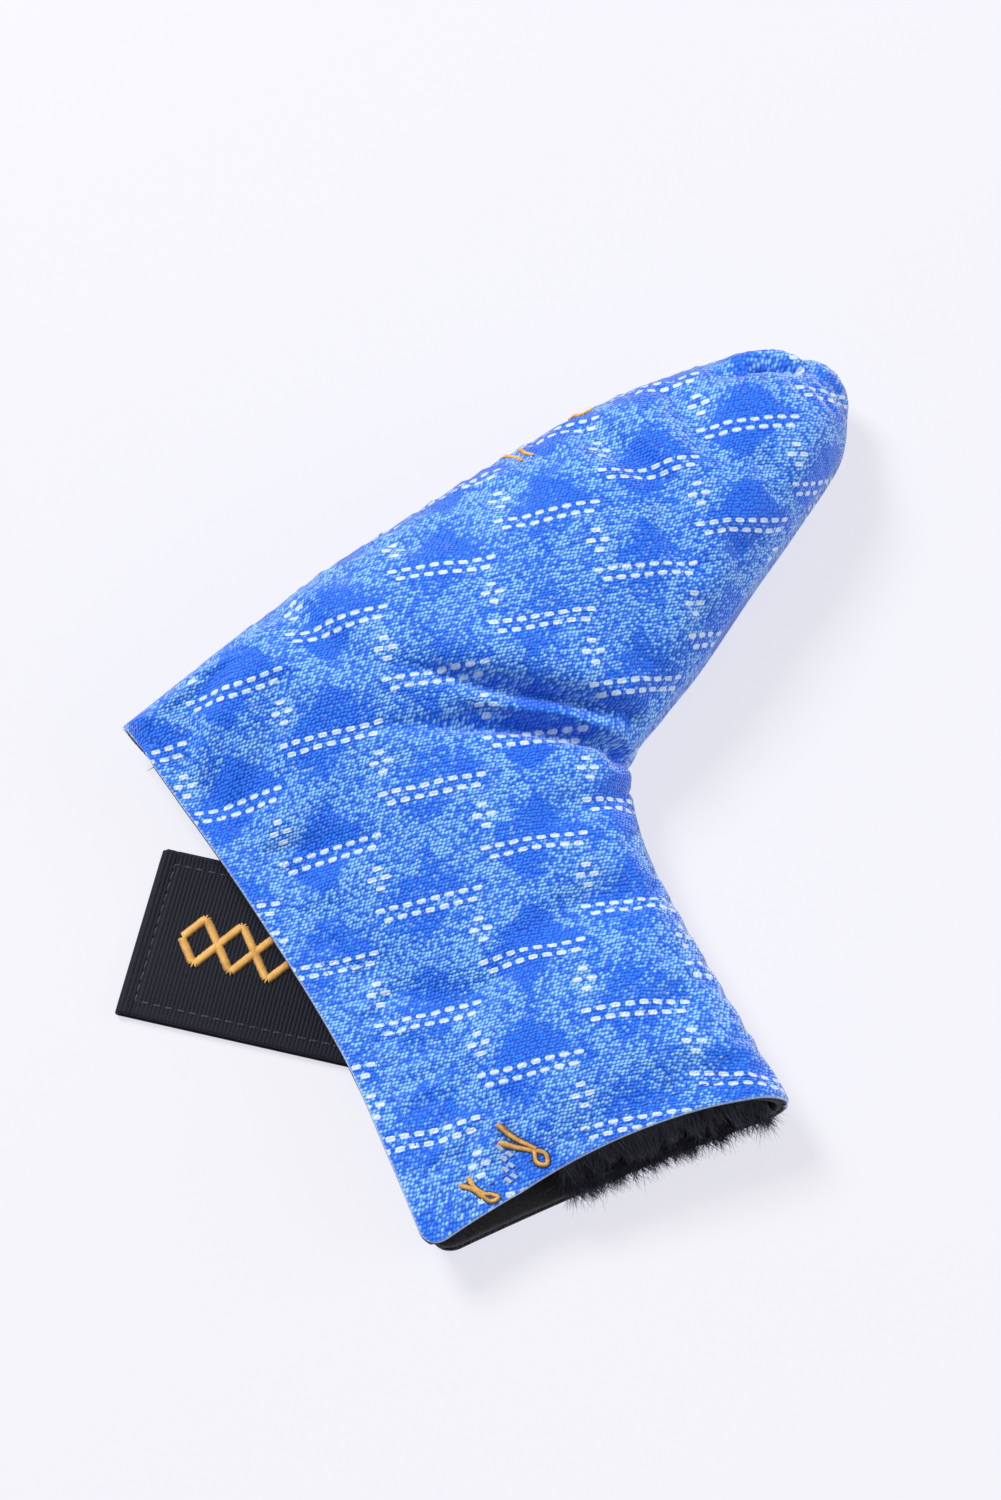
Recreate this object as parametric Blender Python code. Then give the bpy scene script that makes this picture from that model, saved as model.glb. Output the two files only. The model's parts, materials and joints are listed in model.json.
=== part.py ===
"""Padded head cover for a blade putter, lying on its back.

One piece of coated canvas is folded along the sole and sewn together round the
toe and the inner edge. The heel edge stays open: its front layer is a flap that
peels up from a hook-and-loop closure. The neck end is an open mouth, and a
doubled webbing pull tab is sewn to the back panel and reaches out past the
heel edge.

The outline is drawn in millimetres from the heel corner, +X along the sole
towards the toe and -Y down the neck, and the finished part is set down with
its origin under the middle of its bounding box.
"""

import math

import bmesh
import bpy
from mathutils import Vector

MM = 0.001

# Outline of the cover in plan, in millimetres from the heel corner.
HEEL_EDGE = [(-12, -133), (-8, -112), (-3.5, -86), (-0.8, -45), (0, 0)]
SOLE = [(0, 0), (31, 1.8), (69, 4), (102, 4.5), (130, 3), (154, -1.5), (166, -6), (173.5, -12)]
INNER_EDGE = [(68, -151), (73.5, -108), (78, -87), (86, -73.5), (97, -69), (110, -65)]
INNER_EDGE += [(129, -57), (148, -49), (165, -39), (176, -28)]
BEND_POINT = 3  # the inner edge's point where the neck turns into the head
CENTRE = Vector((70.7, -73.3, 0))  # middle of the bounding box
MOUTH_BOW = 2.5  # how far the middle of the mouth is cut back
TOE_BULGE = 2.0

# Ribs run across the cover, from its outer edge to its inner edge.
HEEL_RIBS = 8
SOLE_RIBS = 14
LAST_RIB = HEEL_RIBS + SOLE_RIBS
EDGE_STEPS = 3  # steps round a closed edge, from its rim to its top
SIDE_STEPS = 12  # steps across the front, and again across the back
LOOP_STEPS = 2 * SIDE_STEPS

# Heights above the back panel by rib, as (rib, value) stations.
OUTER_HEIGHT = [(0, 9), (8, 9), (10, 17), (12, 22), (15, 25), (19, 24), (22, 15)]
INNER_HEIGHT = [(0, 14), (4, 15), (8, 18), (12, 20), (18, 22), (22, 14)]
CROWN = [(0, 3.5), (4, 4), (7, 6), (12, 7), (16, 6), (20, 4), (22, 1)]
FLAT_CLOSURE = [(0, 27), (3, 27), (7, 6), (8, 0), (22, 0)]
OUTER_RADIUS = [(0, 5.5), (8, 5.5), (12, 12), (20, 12), (22, 8)]
INNER_RADIUS = [(0, 7), (8, 8), (14, 10), (22, 8)]
LEAST_RADIUS = 0.8
EDGE_CROWDING = 0.2  # spacing of the steps that a layer's set-back edge pushes together
LIFT = 3.2  # the webbing under the heel side holds the cover up by this much
LIFT_FULL_TO, LIFT_NONE_FROM = 45, 85

# Layers, as depths below the outer surface, with a gap between neighbours.
GAP = 0.3
CANVAS = (0, 0.8)
PADDING = (1.1, 2.6)
LINING = (2.9, 4.1)
PADDING_EDGE = 2.4  # how far each layer stops short of the open heel edge
LINING_EDGE = 4.0
LINING_EDGE_AT_STRIP = 27.0
STRIP_RIBS = 3

# The flap peels about a straight line from the heel corner to the mouth.
HINGE_TOP = Vector((0, -8, 13.0))
HINGE_MOUTH = Vector((46, -142, 20.4))
SLIT_HEIGHT = LIFT + 4.5

# Hook and loop strips, along the heel edge by the mouth.
STRIP_LENGTH, STRIP_WIDTH, STRIP_THICK = 42.0, 24.5, 1.45
STRIP_CENTRE = Vector((5.2, -107.5, 0))
STRIP_END_FROM = Vector((-12, -133, 0))
STRIP_END_TO = Vector((-4.5, -91, 0))

# Doubled webbing pull tab, from its sewn root to its folded free end.
TAB_WIDTH = 38.0
TAB_LENGTH = 62.0
TAB_THICK = 2.0
TAB_SLOT = 0.1
TAB_FREE_END = Vector((-22.2, -39.0, 0))
TAB_ANGLE = math.radians(131)
ANCHOR_LENGTH, ANCHOR_THICK = 16.0, 2.9
BORDER_MARGIN = 2.5

# The embroidered row of diamonds along the tab, near its free end.
MOTIF_FROM_END = 21.0
MOTIF_DIAMONDS = 3
MOTIF_PITCH, MOTIF_HALF_HEIGHT, MOTIF_NECK = 8.0, 6.5, 0.6

# Threads.
THREAD_RADIUS = 0.3
THREAD_DEPTH = -0.6
GROOVE_WIDTH, GROOVE_DEPTH = 1.2, 0.7
INSET_THREAD_WIDTH, INSET_THREAD_HEIGHT = 0.6, 0.4
NECK_STITCH_RIB = 0.15

COLOURS = {
    "canvas": ((0.03, 0.16, 0.72), 0.45),
    "padding": ((0.75, 0.75, 0.72), 0.9),
    "fur": ((0.015, 0.015, 0.018), 0.95),
    "hook_and_loop": ((0.02, 0.02, 0.024), 0.85),
    "webbing": ((0.016, 0.017, 0.022), 0.8),
    "blue_thread": ((0.02, 0.06, 0.28), 0.6),
    "black_thread": ((0.012, 0.012, 0.015), 0.6),
    "gold_thread": ((0.80, 0.45, 0.09), 0.45),
    "seam_tape": ((0.03, 0.03, 0.035), 0.85),
}


def clear_scene():
    for scene_object in list(bpy.data.objects):
        bpy.data.objects.remove(scene_object, do_unlink=True)


def material(name):
    if name in bpy.data.materials:
        return bpy.data.materials[name]
    colour, roughness = COLOURS[name]
    made = bpy.data.materials.new(name)
    made.use_nodes = True
    shader = made.node_tree.nodes["Principled BSDF"]
    shader.inputs["Base Color"].default_value = (*colour, 1)
    shader.inputs["Roughness"].default_value = roughness
    shader.inputs["Metallic"].default_value = 0
    return made


def smooth(value):
    value = min(max(value, 0.0), 1.0)
    return value * value * (3 - 2 * value)


def station(stations, rib):
    """The value at a rib, straight between its neighbouring stations."""
    for (low, low_value), (high, high_value) in zip(stations, stations[1:]):
        if rib <= high:
            return low_value + (high_value - low_value) * (rib - low) / (high - low)
    return stations[-1][1]


class Path:
    """A smooth curve through a few points, measured by its length."""

    def __init__(self, points, fineness=24):
        ends = [Vector(point) for point in points]
        before = ends[0] * 2 - ends[1]
        after = ends[-1] * 2 - ends[-2]
        control = [before, *ends, after]
        self.knots = []
        self.points = []
        for a, b, c, d in zip(control, control[1:], control[2:], control[3:]):
            self.knots.append(len(self.points))
            for step in range(fineness):
                t = step / fineness
                self.points.append(
                    0.5 * (2 * b + (c - a) * t + (2 * a - 5 * b + 4 * c - d) * t**2
                           + (3 * b - a - 3 * c + d) * t**3)
                )
        self.knots.append(len(self.points))
        self.points.append(ends[-1])
        self.lengths = [0.0]
        for a, b in zip(self.points, self.points[1:]):
            self.lengths.append(self.lengths[-1] + (b - a).length)

    def length_at(self, knot):
        return self.lengths[self.knots[knot]]

    def at(self, length):
        length = min(max(length, 0.0), self.lengths[-1])
        for index in range(1, len(self.points)):
            if length <= self.lengths[index]:
                run = self.lengths[index] - self.lengths[index - 1]
                part = (length - self.lengths[index - 1]) / run
                return self.points[index - 1].lerp(self.points[index], part)
        return self.points[-1]


HEEL_PATH = Path(HEEL_EDGE)
SOLE_PATH = Path(SOLE)
INNER_PATH = Path(INNER_EDGE)


def rib_ends(rib):
    """The outer and inner ends of a rib. Ribs crowd together at the inner bend."""
    bend = INNER_PATH.length_at(BEND_POINT)
    if rib <= HEEL_RIBS:
        part = rib / HEEL_RIBS
        outer = HEEL_PATH.at(part * HEEL_PATH.lengths[-1])
        inner = INNER_PATH.at(bend * (1 - (1 - part) ** 2))
    else:
        part = (rib - HEEL_RIBS) / SOLE_RIBS
        outer = SOLE_PATH.at(part * SOLE_PATH.lengths[-1])
        inner = INNER_PATH.at(bend + (INNER_PATH.lengths[-1] - bend) * part**1.5)
    return outer, inner


def lift(x):
    return LIFT * (1 - smooth((x - LIFT_FULL_TO) / (LIFT_NONE_FROM - LIFT_FULL_TO)))


def rib_point(rib, step, depth, edge=0.0):
    """A point of the layer at this depth: steps run over the front and back under it."""
    outer, inner = rib_ends(rib)
    width = (inner - outer).length
    is_open = rib < HEEL_RIBS
    side_step = step if step <= SIDE_STEPS else LOOP_STEPS - step
    outer_height, inner_height = station(OUTER_HEIGHT, rib), station(INNER_HEIGHT, rib)
    outer_radius = max(min(station(OUTER_RADIUS, rib), 0.45 * width) - depth, LEAST_RADIUS)
    inner_radius = max(min(station(INNER_RADIUS, rib), 0.45 * width) - depth, LEAST_RADIUS)
    start = 0.0 if is_open else depth
    if is_open:
        outer_radius = station(OUTER_RADIUS, rib)
    first = start + outer_radius
    last = width - depth - inner_radius
    fullness = 1.0
    if side_step <= EDGE_STEPS:
        angle = math.radians(90 * side_step / EDGE_STEPS)
        across = start + outer_radius * (1 - math.cos(angle))
        fullness = 1.0 if is_open else math.sin(angle)
    elif side_step < SIDE_STEPS - EDGE_STEPS:
        part = (side_step - EDGE_STEPS) / (SIDE_STEPS - 2 * EDGE_STEPS)
        across = first + (last - first) * part
    else:
        angle = math.radians(90 * (SIDE_STEPS - side_step) / EDGE_STEPS)
        across = last + inner_radius * math.cos(angle)
        fullness = math.sin(angle)
    if is_open:
        across = max(across, edge + EDGE_CROWDING * side_step)
    flat = station(FLAT_CLOSURE, rib)
    part = min(max((across - flat) / (width - flat), 0.0), 1.0)
    top = outer_height + (inner_height - outer_height) * part
    top += 4 * station(CROWN, rib) * part * (1 - part)
    share = min(max(across / width, 0.0), 1.0)
    middle = 0.5 * (outer_height + (inner_height - outer_height) * share)
    if step <= SIDE_STEPS:
        height = middle + (top - depth - middle) * fullness
    else:
        height = middle - (middle - depth) * fullness
    along = (inner - outer).normalized()
    toward_toe = Vector((-along.y, along.x))
    bow = MOUTH_BOW * max(0.0, 1 - rib / 2) * 4 * share * (1 - share)
    plan = outer + along * across + toward_toe * bow
    if rib == LAST_RIB:
        plan -= toward_toe * depth
    return Vector((plan.x, plan.y, height + lift(plan.x)))


def surface(rib, step, depth, edge=0.0):
    """A point on the flat facets that join the ribs, at fractions of a rib and a step."""
    low_rib = min(int(rib), LAST_RIB - 1)
    low_step = min(int(step), LOOP_STEPS - 1)
    corners = [
        rib_point(low_rib + i, low_step + j, depth, edge) for i, j in ((0, 0), (0, 1), (1, 0), (1, 1))
    ]
    near = corners[0].lerp(corners[1], step - low_step)
    far = corners[2].lerp(corners[3], step - low_step)
    return near.lerp(far, rib - low_rib)


def toe_tip(depth):
    middle = rib_point(LAST_RIB, 0, depth).lerp(rib_point(LAST_RIB, SIDE_STEPS, depth), 0.5)
    outer, inner = rib_ends(LAST_RIB)
    along = (inner - outer).normalized()
    return middle + Vector((-along.y, along.x, 0)) * TOE_BULGE


def make_object(name, mesh, surface_name, parent):
    mesh.materials.append(material(surface_name))
    made = bpy.data.objects.new(name, mesh)
    made.parent = parent
    bpy.context.scene.collection.objects.link(made)
    return made


def finish_mesh(bm, name, origin):
    """The mesh of a bmesh drawn in millimetres, in metres from the origin."""
    bmesh.ops.recalc_face_normals(bm, faces=bm.faces)
    for vertex in bm.verts:
        vertex.co = (vertex.co - origin) * MM
    mesh = bpy.data.meshes.new(name)
    bm.to_mesh(mesh)
    bm.free()
    mesh.shade_smooth()
    mesh.set_sharp_from_angle(angle=math.radians(40))
    return mesh


def layer_mesh(name, depths, edges, origin):
    """One closed layer of the cover: two skins, the mouth's rim and the open heel edge."""
    bm = bmesh.new()
    skins = []
    for depth in depths:
        ribs = []
        for rib in range(LAST_RIB + 1):
            edge = edges(rib)
            closed = rib >= HEEL_RIBS
            count = LOOP_STEPS if closed else LOOP_STEPS + 1
            ring = [bm.verts.new(rib_point(rib, step, depth, edge)) for step in range(count)]
            ribs.append(ring + ring[:1] if closed else ring)
        skins.append((ribs, bm.verts.new(toe_tip(depth))))
    for ribs, tip in skins:
        for near, far in zip(ribs, ribs[1:]):
            for step in range(LOOP_STEPS):
                bm.faces.new((near[step], near[step + 1], far[step + 1], far[step]))
        for step in range(LOOP_STEPS):
            bm.faces.new((ribs[-1][step], ribs[-1][step + 1], tip))
    (outside, _), (inside, _) = skins
    for step in range(LOOP_STEPS):
        bm.faces.new((outside[0][step], outside[0][step + 1], inside[0][step + 1], inside[0][step]))
    for rib in range(HEEL_RIBS):
        for step in (0, LOOP_STEPS):
            near, far = outside[rib][step], outside[rib + 1][step]
            bm.faces.new((near, far, inside[rib + 1][step], inside[rib][step]))
    return finish_mesh(bm, name, origin)


def flap_cutter(name, margin, parent):
    """A prism over the flap, grown or shrunk by the margin, for the flap's Booleans."""
    line = (HINGE_MOUTH - HINGE_TOP).to_2d().normalized()
    beside = Vector((-line.y, line.x)) * margin
    top = HINGE_TOP.to_2d() + beside - line * margin
    bottom = HINGE_MOUTH.to_2d() + beside + line * 25
    corners = [top, bottom, Vector((-60, bottom.y)), Vector((-60, top.y))]
    bm = bmesh.new()
    base = [bm.verts.new((corner.x, corner.y, SLIT_HEIGHT)) for corner in corners]
    bm.faces.new(base)
    raised = bmesh.ops.extrude_face_region(bm, geom=bm.faces[:])
    for item in raised["geom"]:
        if isinstance(item, bmesh.types.BMVert):
            item.co.z += 40
    cutter = make_object(name, finish_mesh(bm, name, Vector()), "padding", parent)
    cutter.hide_render = True
    cutter.display_type = "WIRE"
    return cutter


def cut(target, cutter, operation):
    modifier = target.modifiers.new(cutter.name, "BOOLEAN")
    modifier.operation = operation
    modifier.object = cutter
    modifier.solver = "EXACT"


def thread(name, points, surface_name, parent, origin, radius=THREAD_RADIUS):
    """A thread as a capped tube through the points."""
    curve = bpy.data.curves.new(name, "CURVE")
    curve.dimensions = "3D"
    curve.bevel_depth = radius * MM
    curve.bevel_resolution = 1
    curve.use_fill_caps = True
    curve.render_resolution_u = 0
    spline = curve.splines.new("POLY")
    spline.points.add(len(points) - 1)
    for target, point in zip(spline.points, points):
        target.co = (*((point - origin) * MM), 1)
    curve.materials.append(material(surface_name))
    made = bpy.data.objects.new(name, curve)
    made.parent = parent
    bpy.context.scene.collection.objects.link(made)
    return made


def prism(name, outline, low, high, surface_name, parent, origin):
    """A flat outline in plan, raised from one height to another."""
    bm = bmesh.new()
    bottom = [bm.verts.new((point.x, point.y, low)) for point in outline]
    top = [bm.verts.new((point.x, point.y, high)) for point in outline]
    bm.faces.new(bottom)
    bm.faces.new(top)
    for index in range(len(outline)):
        after = (index + 1) % len(outline)
        bm.faces.new((bottom[index], bottom[after], top[after], top[index]))
    return make_object(name, finish_mesh(bm, name, origin), surface_name, parent)


def rectangle(centre, along, length, width):
    side = Vector((-along.y, along.x))
    centre = centre.to_2d()
    return [
        centre + along * (x * length / 2) + side * (y * width / 2)
        for x, y in ((-1, -1), (1, -1), (1, 1), (-1, 1))
    ]


def frame(name, centre, along, length, width, bar, low, high, surface_name, parent, origin):
    """A rectangular ring, such as a row of stitches round a strip's border."""
    bm = bmesh.new()
    rings = []
    for grow in (bar / 2, -bar / 2):
        outline = rectangle(centre, along, length + 2 * grow, width + 2 * grow)
        for height in (low, high):
            rings.append([bm.verts.new((point.x, point.y, height)) for point in outline])
    outer_low, outer_high, inner_low, inner_high = rings
    for index in range(4):
        after = (index + 1) % 4
        for a, b in (
            (outer_low, outer_high), (inner_low, inner_high),
            (outer_low, inner_low), (outer_high, inner_high),
        ):
            bm.faces.new((a[index], a[after], b[after], b[index]))
    return make_object(name, finish_mesh(bm, name, origin), surface_name, parent)


def stitched_slab(
    slab_name, thread_name, centre, along, size, heights, stitch_up, slots, parent, origin
):
    """A flat strip with a border of stitches sunk into its upper or lower face."""
    length, width = size
    low, high = heights
    slab = prism(slab_name, rectangle(centre, along, length, width), low, high, slots[0], parent, origin)
    face = high if stitch_up else low
    inward = -1 if stitch_up else 1
    border = (length - 2 * BORDER_MARGIN, width - 2 * BORDER_MARGIN)
    groove_ends = sorted((face - inward, face + inward * GROOVE_DEPTH))
    groove = frame(
        slab_name + "_groove", centre, along, *border, GROOVE_WIDTH, *groove_ends, slots[0], parent, origin
    )
    groove.hide_render = True
    groove.display_type = "WIRE"
    cut(slab, groove, "DIFFERENCE")
    thread_ends = sorted((face, face + inward * INSET_THREAD_HEIGHT))
    frame(thread_name, centre, along, *border, INSET_THREAD_WIDTH, *thread_ends, slots[1], parent, origin)
    return slab


def ribbon(name, lines, thickness, surface_name, parent, origin):
    """A thin tape between two lines of points."""
    bm = bmesh.new()
    rows = []
    for line in lines:
        for height in (-thickness / 2, thickness / 2):
            rows.append([bm.verts.new(point + Vector((0, 0, height))) for point in line])
    near_low, near_high, far_low, far_high = rows
    pairs = ((near_low, near_high), (far_low, far_high), (near_low, far_low), (near_high, far_high))
    for a, b in pairs:
        for index in range(len(near_low) - 1):
            bm.faces.new((a[index], a[index + 1], b[index + 1], b[index]))
    for end in (0, -1):
        bm.faces.new((near_low[end], near_high[end], far_high[end], far_low[end]))
    return make_object(name, finish_mesh(bm, name, origin), surface_name, parent)


def patch(name, ribs, steps, surface_name, parent, origin):
    """A small embroidered pad on the outer surface, within one facet of it."""
    bm = bmesh.new()
    skins = []
    for depth in (-0.4, -1.0):
        skins.append([bm.verts.new(surface(rib, step, depth)) for rib in ribs for step in steps])
    order = (0, 1, 3, 2)
    for skin in skins:
        bm.faces.new([skin[index] for index in order])
    for a, b in zip(order, order[1:] + order[:1]):
        bm.faces.new((skins[0][a], skins[0][b], skins[1][b], skins[1][a]))
    return make_object(name, finish_mesh(bm, name, origin), surface_name, parent)


def layers(cover, flap):
    """Canvas, padding and lining, each parted into the cover's share and the flap's."""
    wide = flap_cutter("flap_opening", GAP / 2, cover)
    narrow = flap_cutter("flap_outline", -GAP / 2, cover)
    table = [
        ("outer_canvas", "flap_canvas", CANVAS, lambda rib: 0.0, "canvas"),
        ("foam_padding", "flap_padding", PADDING, lambda rib: PADDING_EDGE, "padding"),
        ("fur_lining", "flap_lining", LINING, lining_edge, "fur"),
    ]
    for cover_name, flap_name, depths, edges, surface_name in table:
        fixed = layer_mesh(cover_name, depths, edges, Vector())
        cut(make_object(cover_name, fixed, surface_name, cover), wide, "DIFFERENCE")
        moving = layer_mesh(flap_name, depths, edges, HINGE_TOP)
        cut(make_object(flap_name, moving, surface_name, flap), narrow, "INTERSECT")


def lining_edge(rib):
    return LINING_EDGE_AT_STRIP if rib <= STRIP_RIBS else LINING_EDGE


def closure(cover, flap):
    along = (STRIP_END_TO - STRIP_END_FROM).to_2d().normalized()
    size = (STRIP_LENGTH, STRIP_WIDTH)
    hook = (SLIT_HEIGHT + GAP / 2, SLIT_HEIGHT + GAP / 2 + STRIP_THICK)
    loop = (SLIT_HEIGHT - GAP / 2 - STRIP_THICK, SLIT_HEIGHT - GAP / 2)
    slots = ("hook_and_loop", "black_thread")
    stitched_slab(
        "hook_strip", "hook_strip_stitch", STRIP_CENTRE, along, size, hook, False, slots, flap, HINGE_TOP
    )
    stitched_slab(
        "loop_strip", "loop_strip_stitch", STRIP_CENTRE, along, size, loop, True, slots, cover, Vector()
    )


def hem_stitches(cover, flap):
    heel_ribs = [0.6, *range(1, HEEL_RIBS)]
    front = [surface(rib, EDGE_STEPS, THREAD_DEPTH) for rib in heel_ribs]
    back = [surface(rib, LOOP_STEPS - EDGE_STEPS, THREAD_DEPTH) for rib in heel_ribs]
    thread("flap_heel_stitch", front, "blue_thread", flap, HINGE_TOP)
    thread("back_heel_stitch", back, "blue_thread", cover, Vector())

    def across(steps):
        return [surface(NECK_STITCH_RIB, step, THREAD_DEPTH) for step in steps]

    thread("flap_neck_stitch", across([1, 2, 3, 4, 5, 6, 7, 7.3]), "blue_thread", flap, HINGE_TOP)
    thread("front_neck_stitch", across([8.1, 9, 10, 11]), "blue_thread", cover, Vector())
    thread("back_neck_stitch", across(range(13, 24)), "blue_thread", cover, Vector())


def edge_seam(cover):
    """The seam round the inner edge and the toe, and the seam allowance inside it."""
    outside = [surface(rib, SIDE_STEPS, THREAD_DEPTH) for rib in range(LAST_RIB + 1)]
    outer, inner = rib_ends(LAST_RIB)
    along = (inner - outer).normalized()
    outside.append(toe_tip(0) + Vector((-along.y, along.x, 0)) * 0.9)
    outside += [surface(LAST_RIB - back, 0, THREAD_DEPTH) for back in range(3)]
    thread("seam_thread", outside, "blue_thread", cover, Vector())
    lines = [
        [surface(rib, SIDE_STEPS, depth) for rib in [0.2, *range(1, LAST_RIB - 2)]]
        for depth in (LINING[1] + 0.6, LINING[1] + 4.6)
    ]
    ribbon("seam_allowance", lines, 1.0, "seam_tape", cover, Vector())


def motifs(cover, flap):
    """Small embroidered marks, two on the sole fold and two on the flap's hem."""
    patch("sole_motif_heel", (15.1, 15.5), (2.1, 2.9), "gold_thread", cover, Vector())
    patch("sole_motif_toe", (16.4, 16.7), (2.1, 2.9), "gold_thread", cover, Vector())
    top = LIFT + station(OUTER_HEIGHT, 0) + GAP
    for name, centre, angle in (
        ("hem_motif_heel", Vector((0.8, -125.5, 0)), 108),
        ("hem_motif_mouth", Vector((12.5, -124.5, 0)), 76),
    ):
        along = Vector((math.cos(math.radians(angle)), math.sin(math.radians(angle))))
        outline = rectangle(centre, along, 8.5, 2.4)
        prism(name, outline, top, top + 0.6, "gold_thread", flap, HINGE_TOP)


def pull_tab(cover, tab, root):
    """Webbing doubled over at its free end, with its two ends turned under and sewn down."""
    toward_end = Vector((math.cos(TAB_ANGLE), math.sin(TAB_ANGLE)))
    swing_length = TAB_LENGTH - GAP
    middle = TAB_FREE_END - toward_end.to_3d() * (swing_length / 2)
    size = (swing_length, TAB_WIDTH)
    slots = ("webbing", "black_thread")
    webbing = stitched_slab(
        "pull_tab_webbing", "tab_border_stitch", middle, toward_end, size, (0, TAB_THICK), True, slots,
        tab, root,
    )
    slot_centre = middle - toward_end.to_3d() * 4
    slot_outline = rectangle(slot_centre, toward_end, swing_length + 4, TAB_WIDTH + 4)
    ply_gap = (0.5 * TAB_THICK - TAB_SLOT, 0.5 * TAB_THICK)
    slot = prism("tab_ply_gap", slot_outline, *ply_gap, "webbing", tab, root)
    slot.hide_render = True
    slot.display_type = "WIRE"
    cut(webbing, slot, "DIFFERENCE")
    anchor_centre = TAB_FREE_END - toward_end.to_3d() * (TAB_LENGTH + ANCHOR_LENGTH / 2)
    stitched_slab(
        "tab_anchor_end", "tab_anchor_stitch", anchor_centre, toward_end, (ANCHOR_LENGTH, TAB_WIDTH),
        (0, ANCHOR_THICK), False, slots, cover, Vector(),
    )
    side = Vector((-toward_end.y, toward_end.x))
    middle = TAB_FREE_END.to_2d() - toward_end * MOTIF_FROM_END
    stations = [(place - MOTIF_DIAMONDS) * MOTIF_PITCH / 2 for place in range(2 * MOTIF_DIAMONDS + 1)]
    halves = [MOTIF_HALF_HEIGHT if place % 2 else MOTIF_NECK for place in range(len(stations))]
    near = [middle + toward_end * along - side * half for along, half in zip(stations, halves)]
    far = [middle + toward_end * along + side * half for along, half in zip(stations, halves)]
    top = TAB_THICK + GAP
    prism("tab_motif", near + far[::-1], top, top + 0.5, "gold_thread", tab, root)


def empty(name, location, parent=None):
    made = bpy.data.objects.new(name, None)
    made.location = location * MM
    made.parent = parent
    bpy.context.scene.collection.objects.link(made)
    return made


def main():
    clear_scene()
    toward_end = Vector((math.cos(TAB_ANGLE), math.sin(TAB_ANGLE), 0))
    tab_root = TAB_FREE_END - toward_end * TAB_LENGTH
    cover = empty("cover", -CENTRE)
    flap = empty("front_flap", HINGE_TOP, cover)
    tab = empty("pull_tab", tab_root, cover)
    layers(cover, flap)
    closure(cover, flap)
    hem_stitches(cover, flap)
    edge_seam(cover)
    motifs(cover, flap)
    pull_tab(cover, tab, tab_root)


main()
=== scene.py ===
"""Looks of a padded putter head cover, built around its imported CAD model.

Shapes are drawn in millimetres from the heel corner, +X along the sole towards
the toe and -Y down the neck, as in the CAD source, and are set down in the
frame by the flap's joint. One grid of points follows the canvas from the
front's heel edge, over the front and round the inner edge, to the back's heel
edge. The canvas, lining, strips, stitches and marks all come from that grid.
"""

import functools
import json
import math

import bpy
import numpy as np
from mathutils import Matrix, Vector
from mathutils.bvhtree import BVHTree


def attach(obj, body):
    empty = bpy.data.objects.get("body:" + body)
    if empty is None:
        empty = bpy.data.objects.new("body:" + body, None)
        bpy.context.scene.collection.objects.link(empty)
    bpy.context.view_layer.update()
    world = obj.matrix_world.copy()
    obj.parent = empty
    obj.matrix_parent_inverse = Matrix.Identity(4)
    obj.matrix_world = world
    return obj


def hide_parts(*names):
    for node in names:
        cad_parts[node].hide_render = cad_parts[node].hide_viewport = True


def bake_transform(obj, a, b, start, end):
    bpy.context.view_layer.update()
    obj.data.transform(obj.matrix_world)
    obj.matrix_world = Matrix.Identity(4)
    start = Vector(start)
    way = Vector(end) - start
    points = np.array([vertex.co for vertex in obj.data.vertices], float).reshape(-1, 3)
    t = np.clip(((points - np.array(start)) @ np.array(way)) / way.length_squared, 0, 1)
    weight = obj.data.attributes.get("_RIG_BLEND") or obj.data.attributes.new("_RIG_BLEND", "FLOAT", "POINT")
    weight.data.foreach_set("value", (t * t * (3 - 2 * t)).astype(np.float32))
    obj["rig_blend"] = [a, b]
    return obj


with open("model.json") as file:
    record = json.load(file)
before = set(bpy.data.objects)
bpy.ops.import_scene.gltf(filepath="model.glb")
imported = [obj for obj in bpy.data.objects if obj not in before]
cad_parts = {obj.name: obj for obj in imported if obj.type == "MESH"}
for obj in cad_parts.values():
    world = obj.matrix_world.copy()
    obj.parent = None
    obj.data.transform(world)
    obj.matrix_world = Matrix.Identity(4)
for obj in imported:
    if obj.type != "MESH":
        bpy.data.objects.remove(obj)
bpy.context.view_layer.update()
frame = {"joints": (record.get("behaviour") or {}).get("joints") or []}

MM = 0.001
JOINTS = {joint["name"]: joint for joint in frame["joints"]}

# The flap's joint in the drawing's millimetres, which places the drawing in the frame.
HINGE_TOP = np.array([0, -8, 13.0])
HINGE_MOUTH = np.array([46, -142, 20.4])
HEEL_CORNER = np.array(JOINTS["front_flap_peel"]["pos_m"]) / MM - HINGE_TOP
FLAP_BEND = 21.0  # how far from the hinge line the flap's bend ends

# Outline of the cover in plan.
HEEL_EDGE = [(-14.2, -133.6), (-9, -112), (-3.8, -86), (-0.8, -45), (0, 0)]
SOLE = [(0, 0), (31, 1.2), (69, 2.8), (102, 2.7), (130, 1.0), (153, -3.2), (164, -7), (170.5, -12.5)]
INNER_EDGE = [(64.8, -150.5), (70.5, -108), (75.2, -86), (83.8, -71), (96, -66.2), (109, -62.2)]
INNER_EDGE += [(128, -54.6), (147, -47.2), (165, -38.8), (174.5, -29.5)]
BEND_POINT = 3  # the inner edge's point where the neck turns into the head
FRONT_BOW, BACK_BOW = 5.0, 1.0  # how far the mouth's edges curve in
CORNER_RADIUS = 5.0
BACK_INSET = 2.3  # how far the back's heel edge lies inside the front's

# Ribs run across the cover, from its outer edge to its inner edge.
HEEL_RIBS, SOLE_RIBS = 8, 14
LAST_RIB = HEEL_RIBS + SOLE_RIBS
OPEN_TO, CLOSED_FROM = 7.3, 7.97  # the heel edge closes into the sole fold between these ribs

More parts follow.
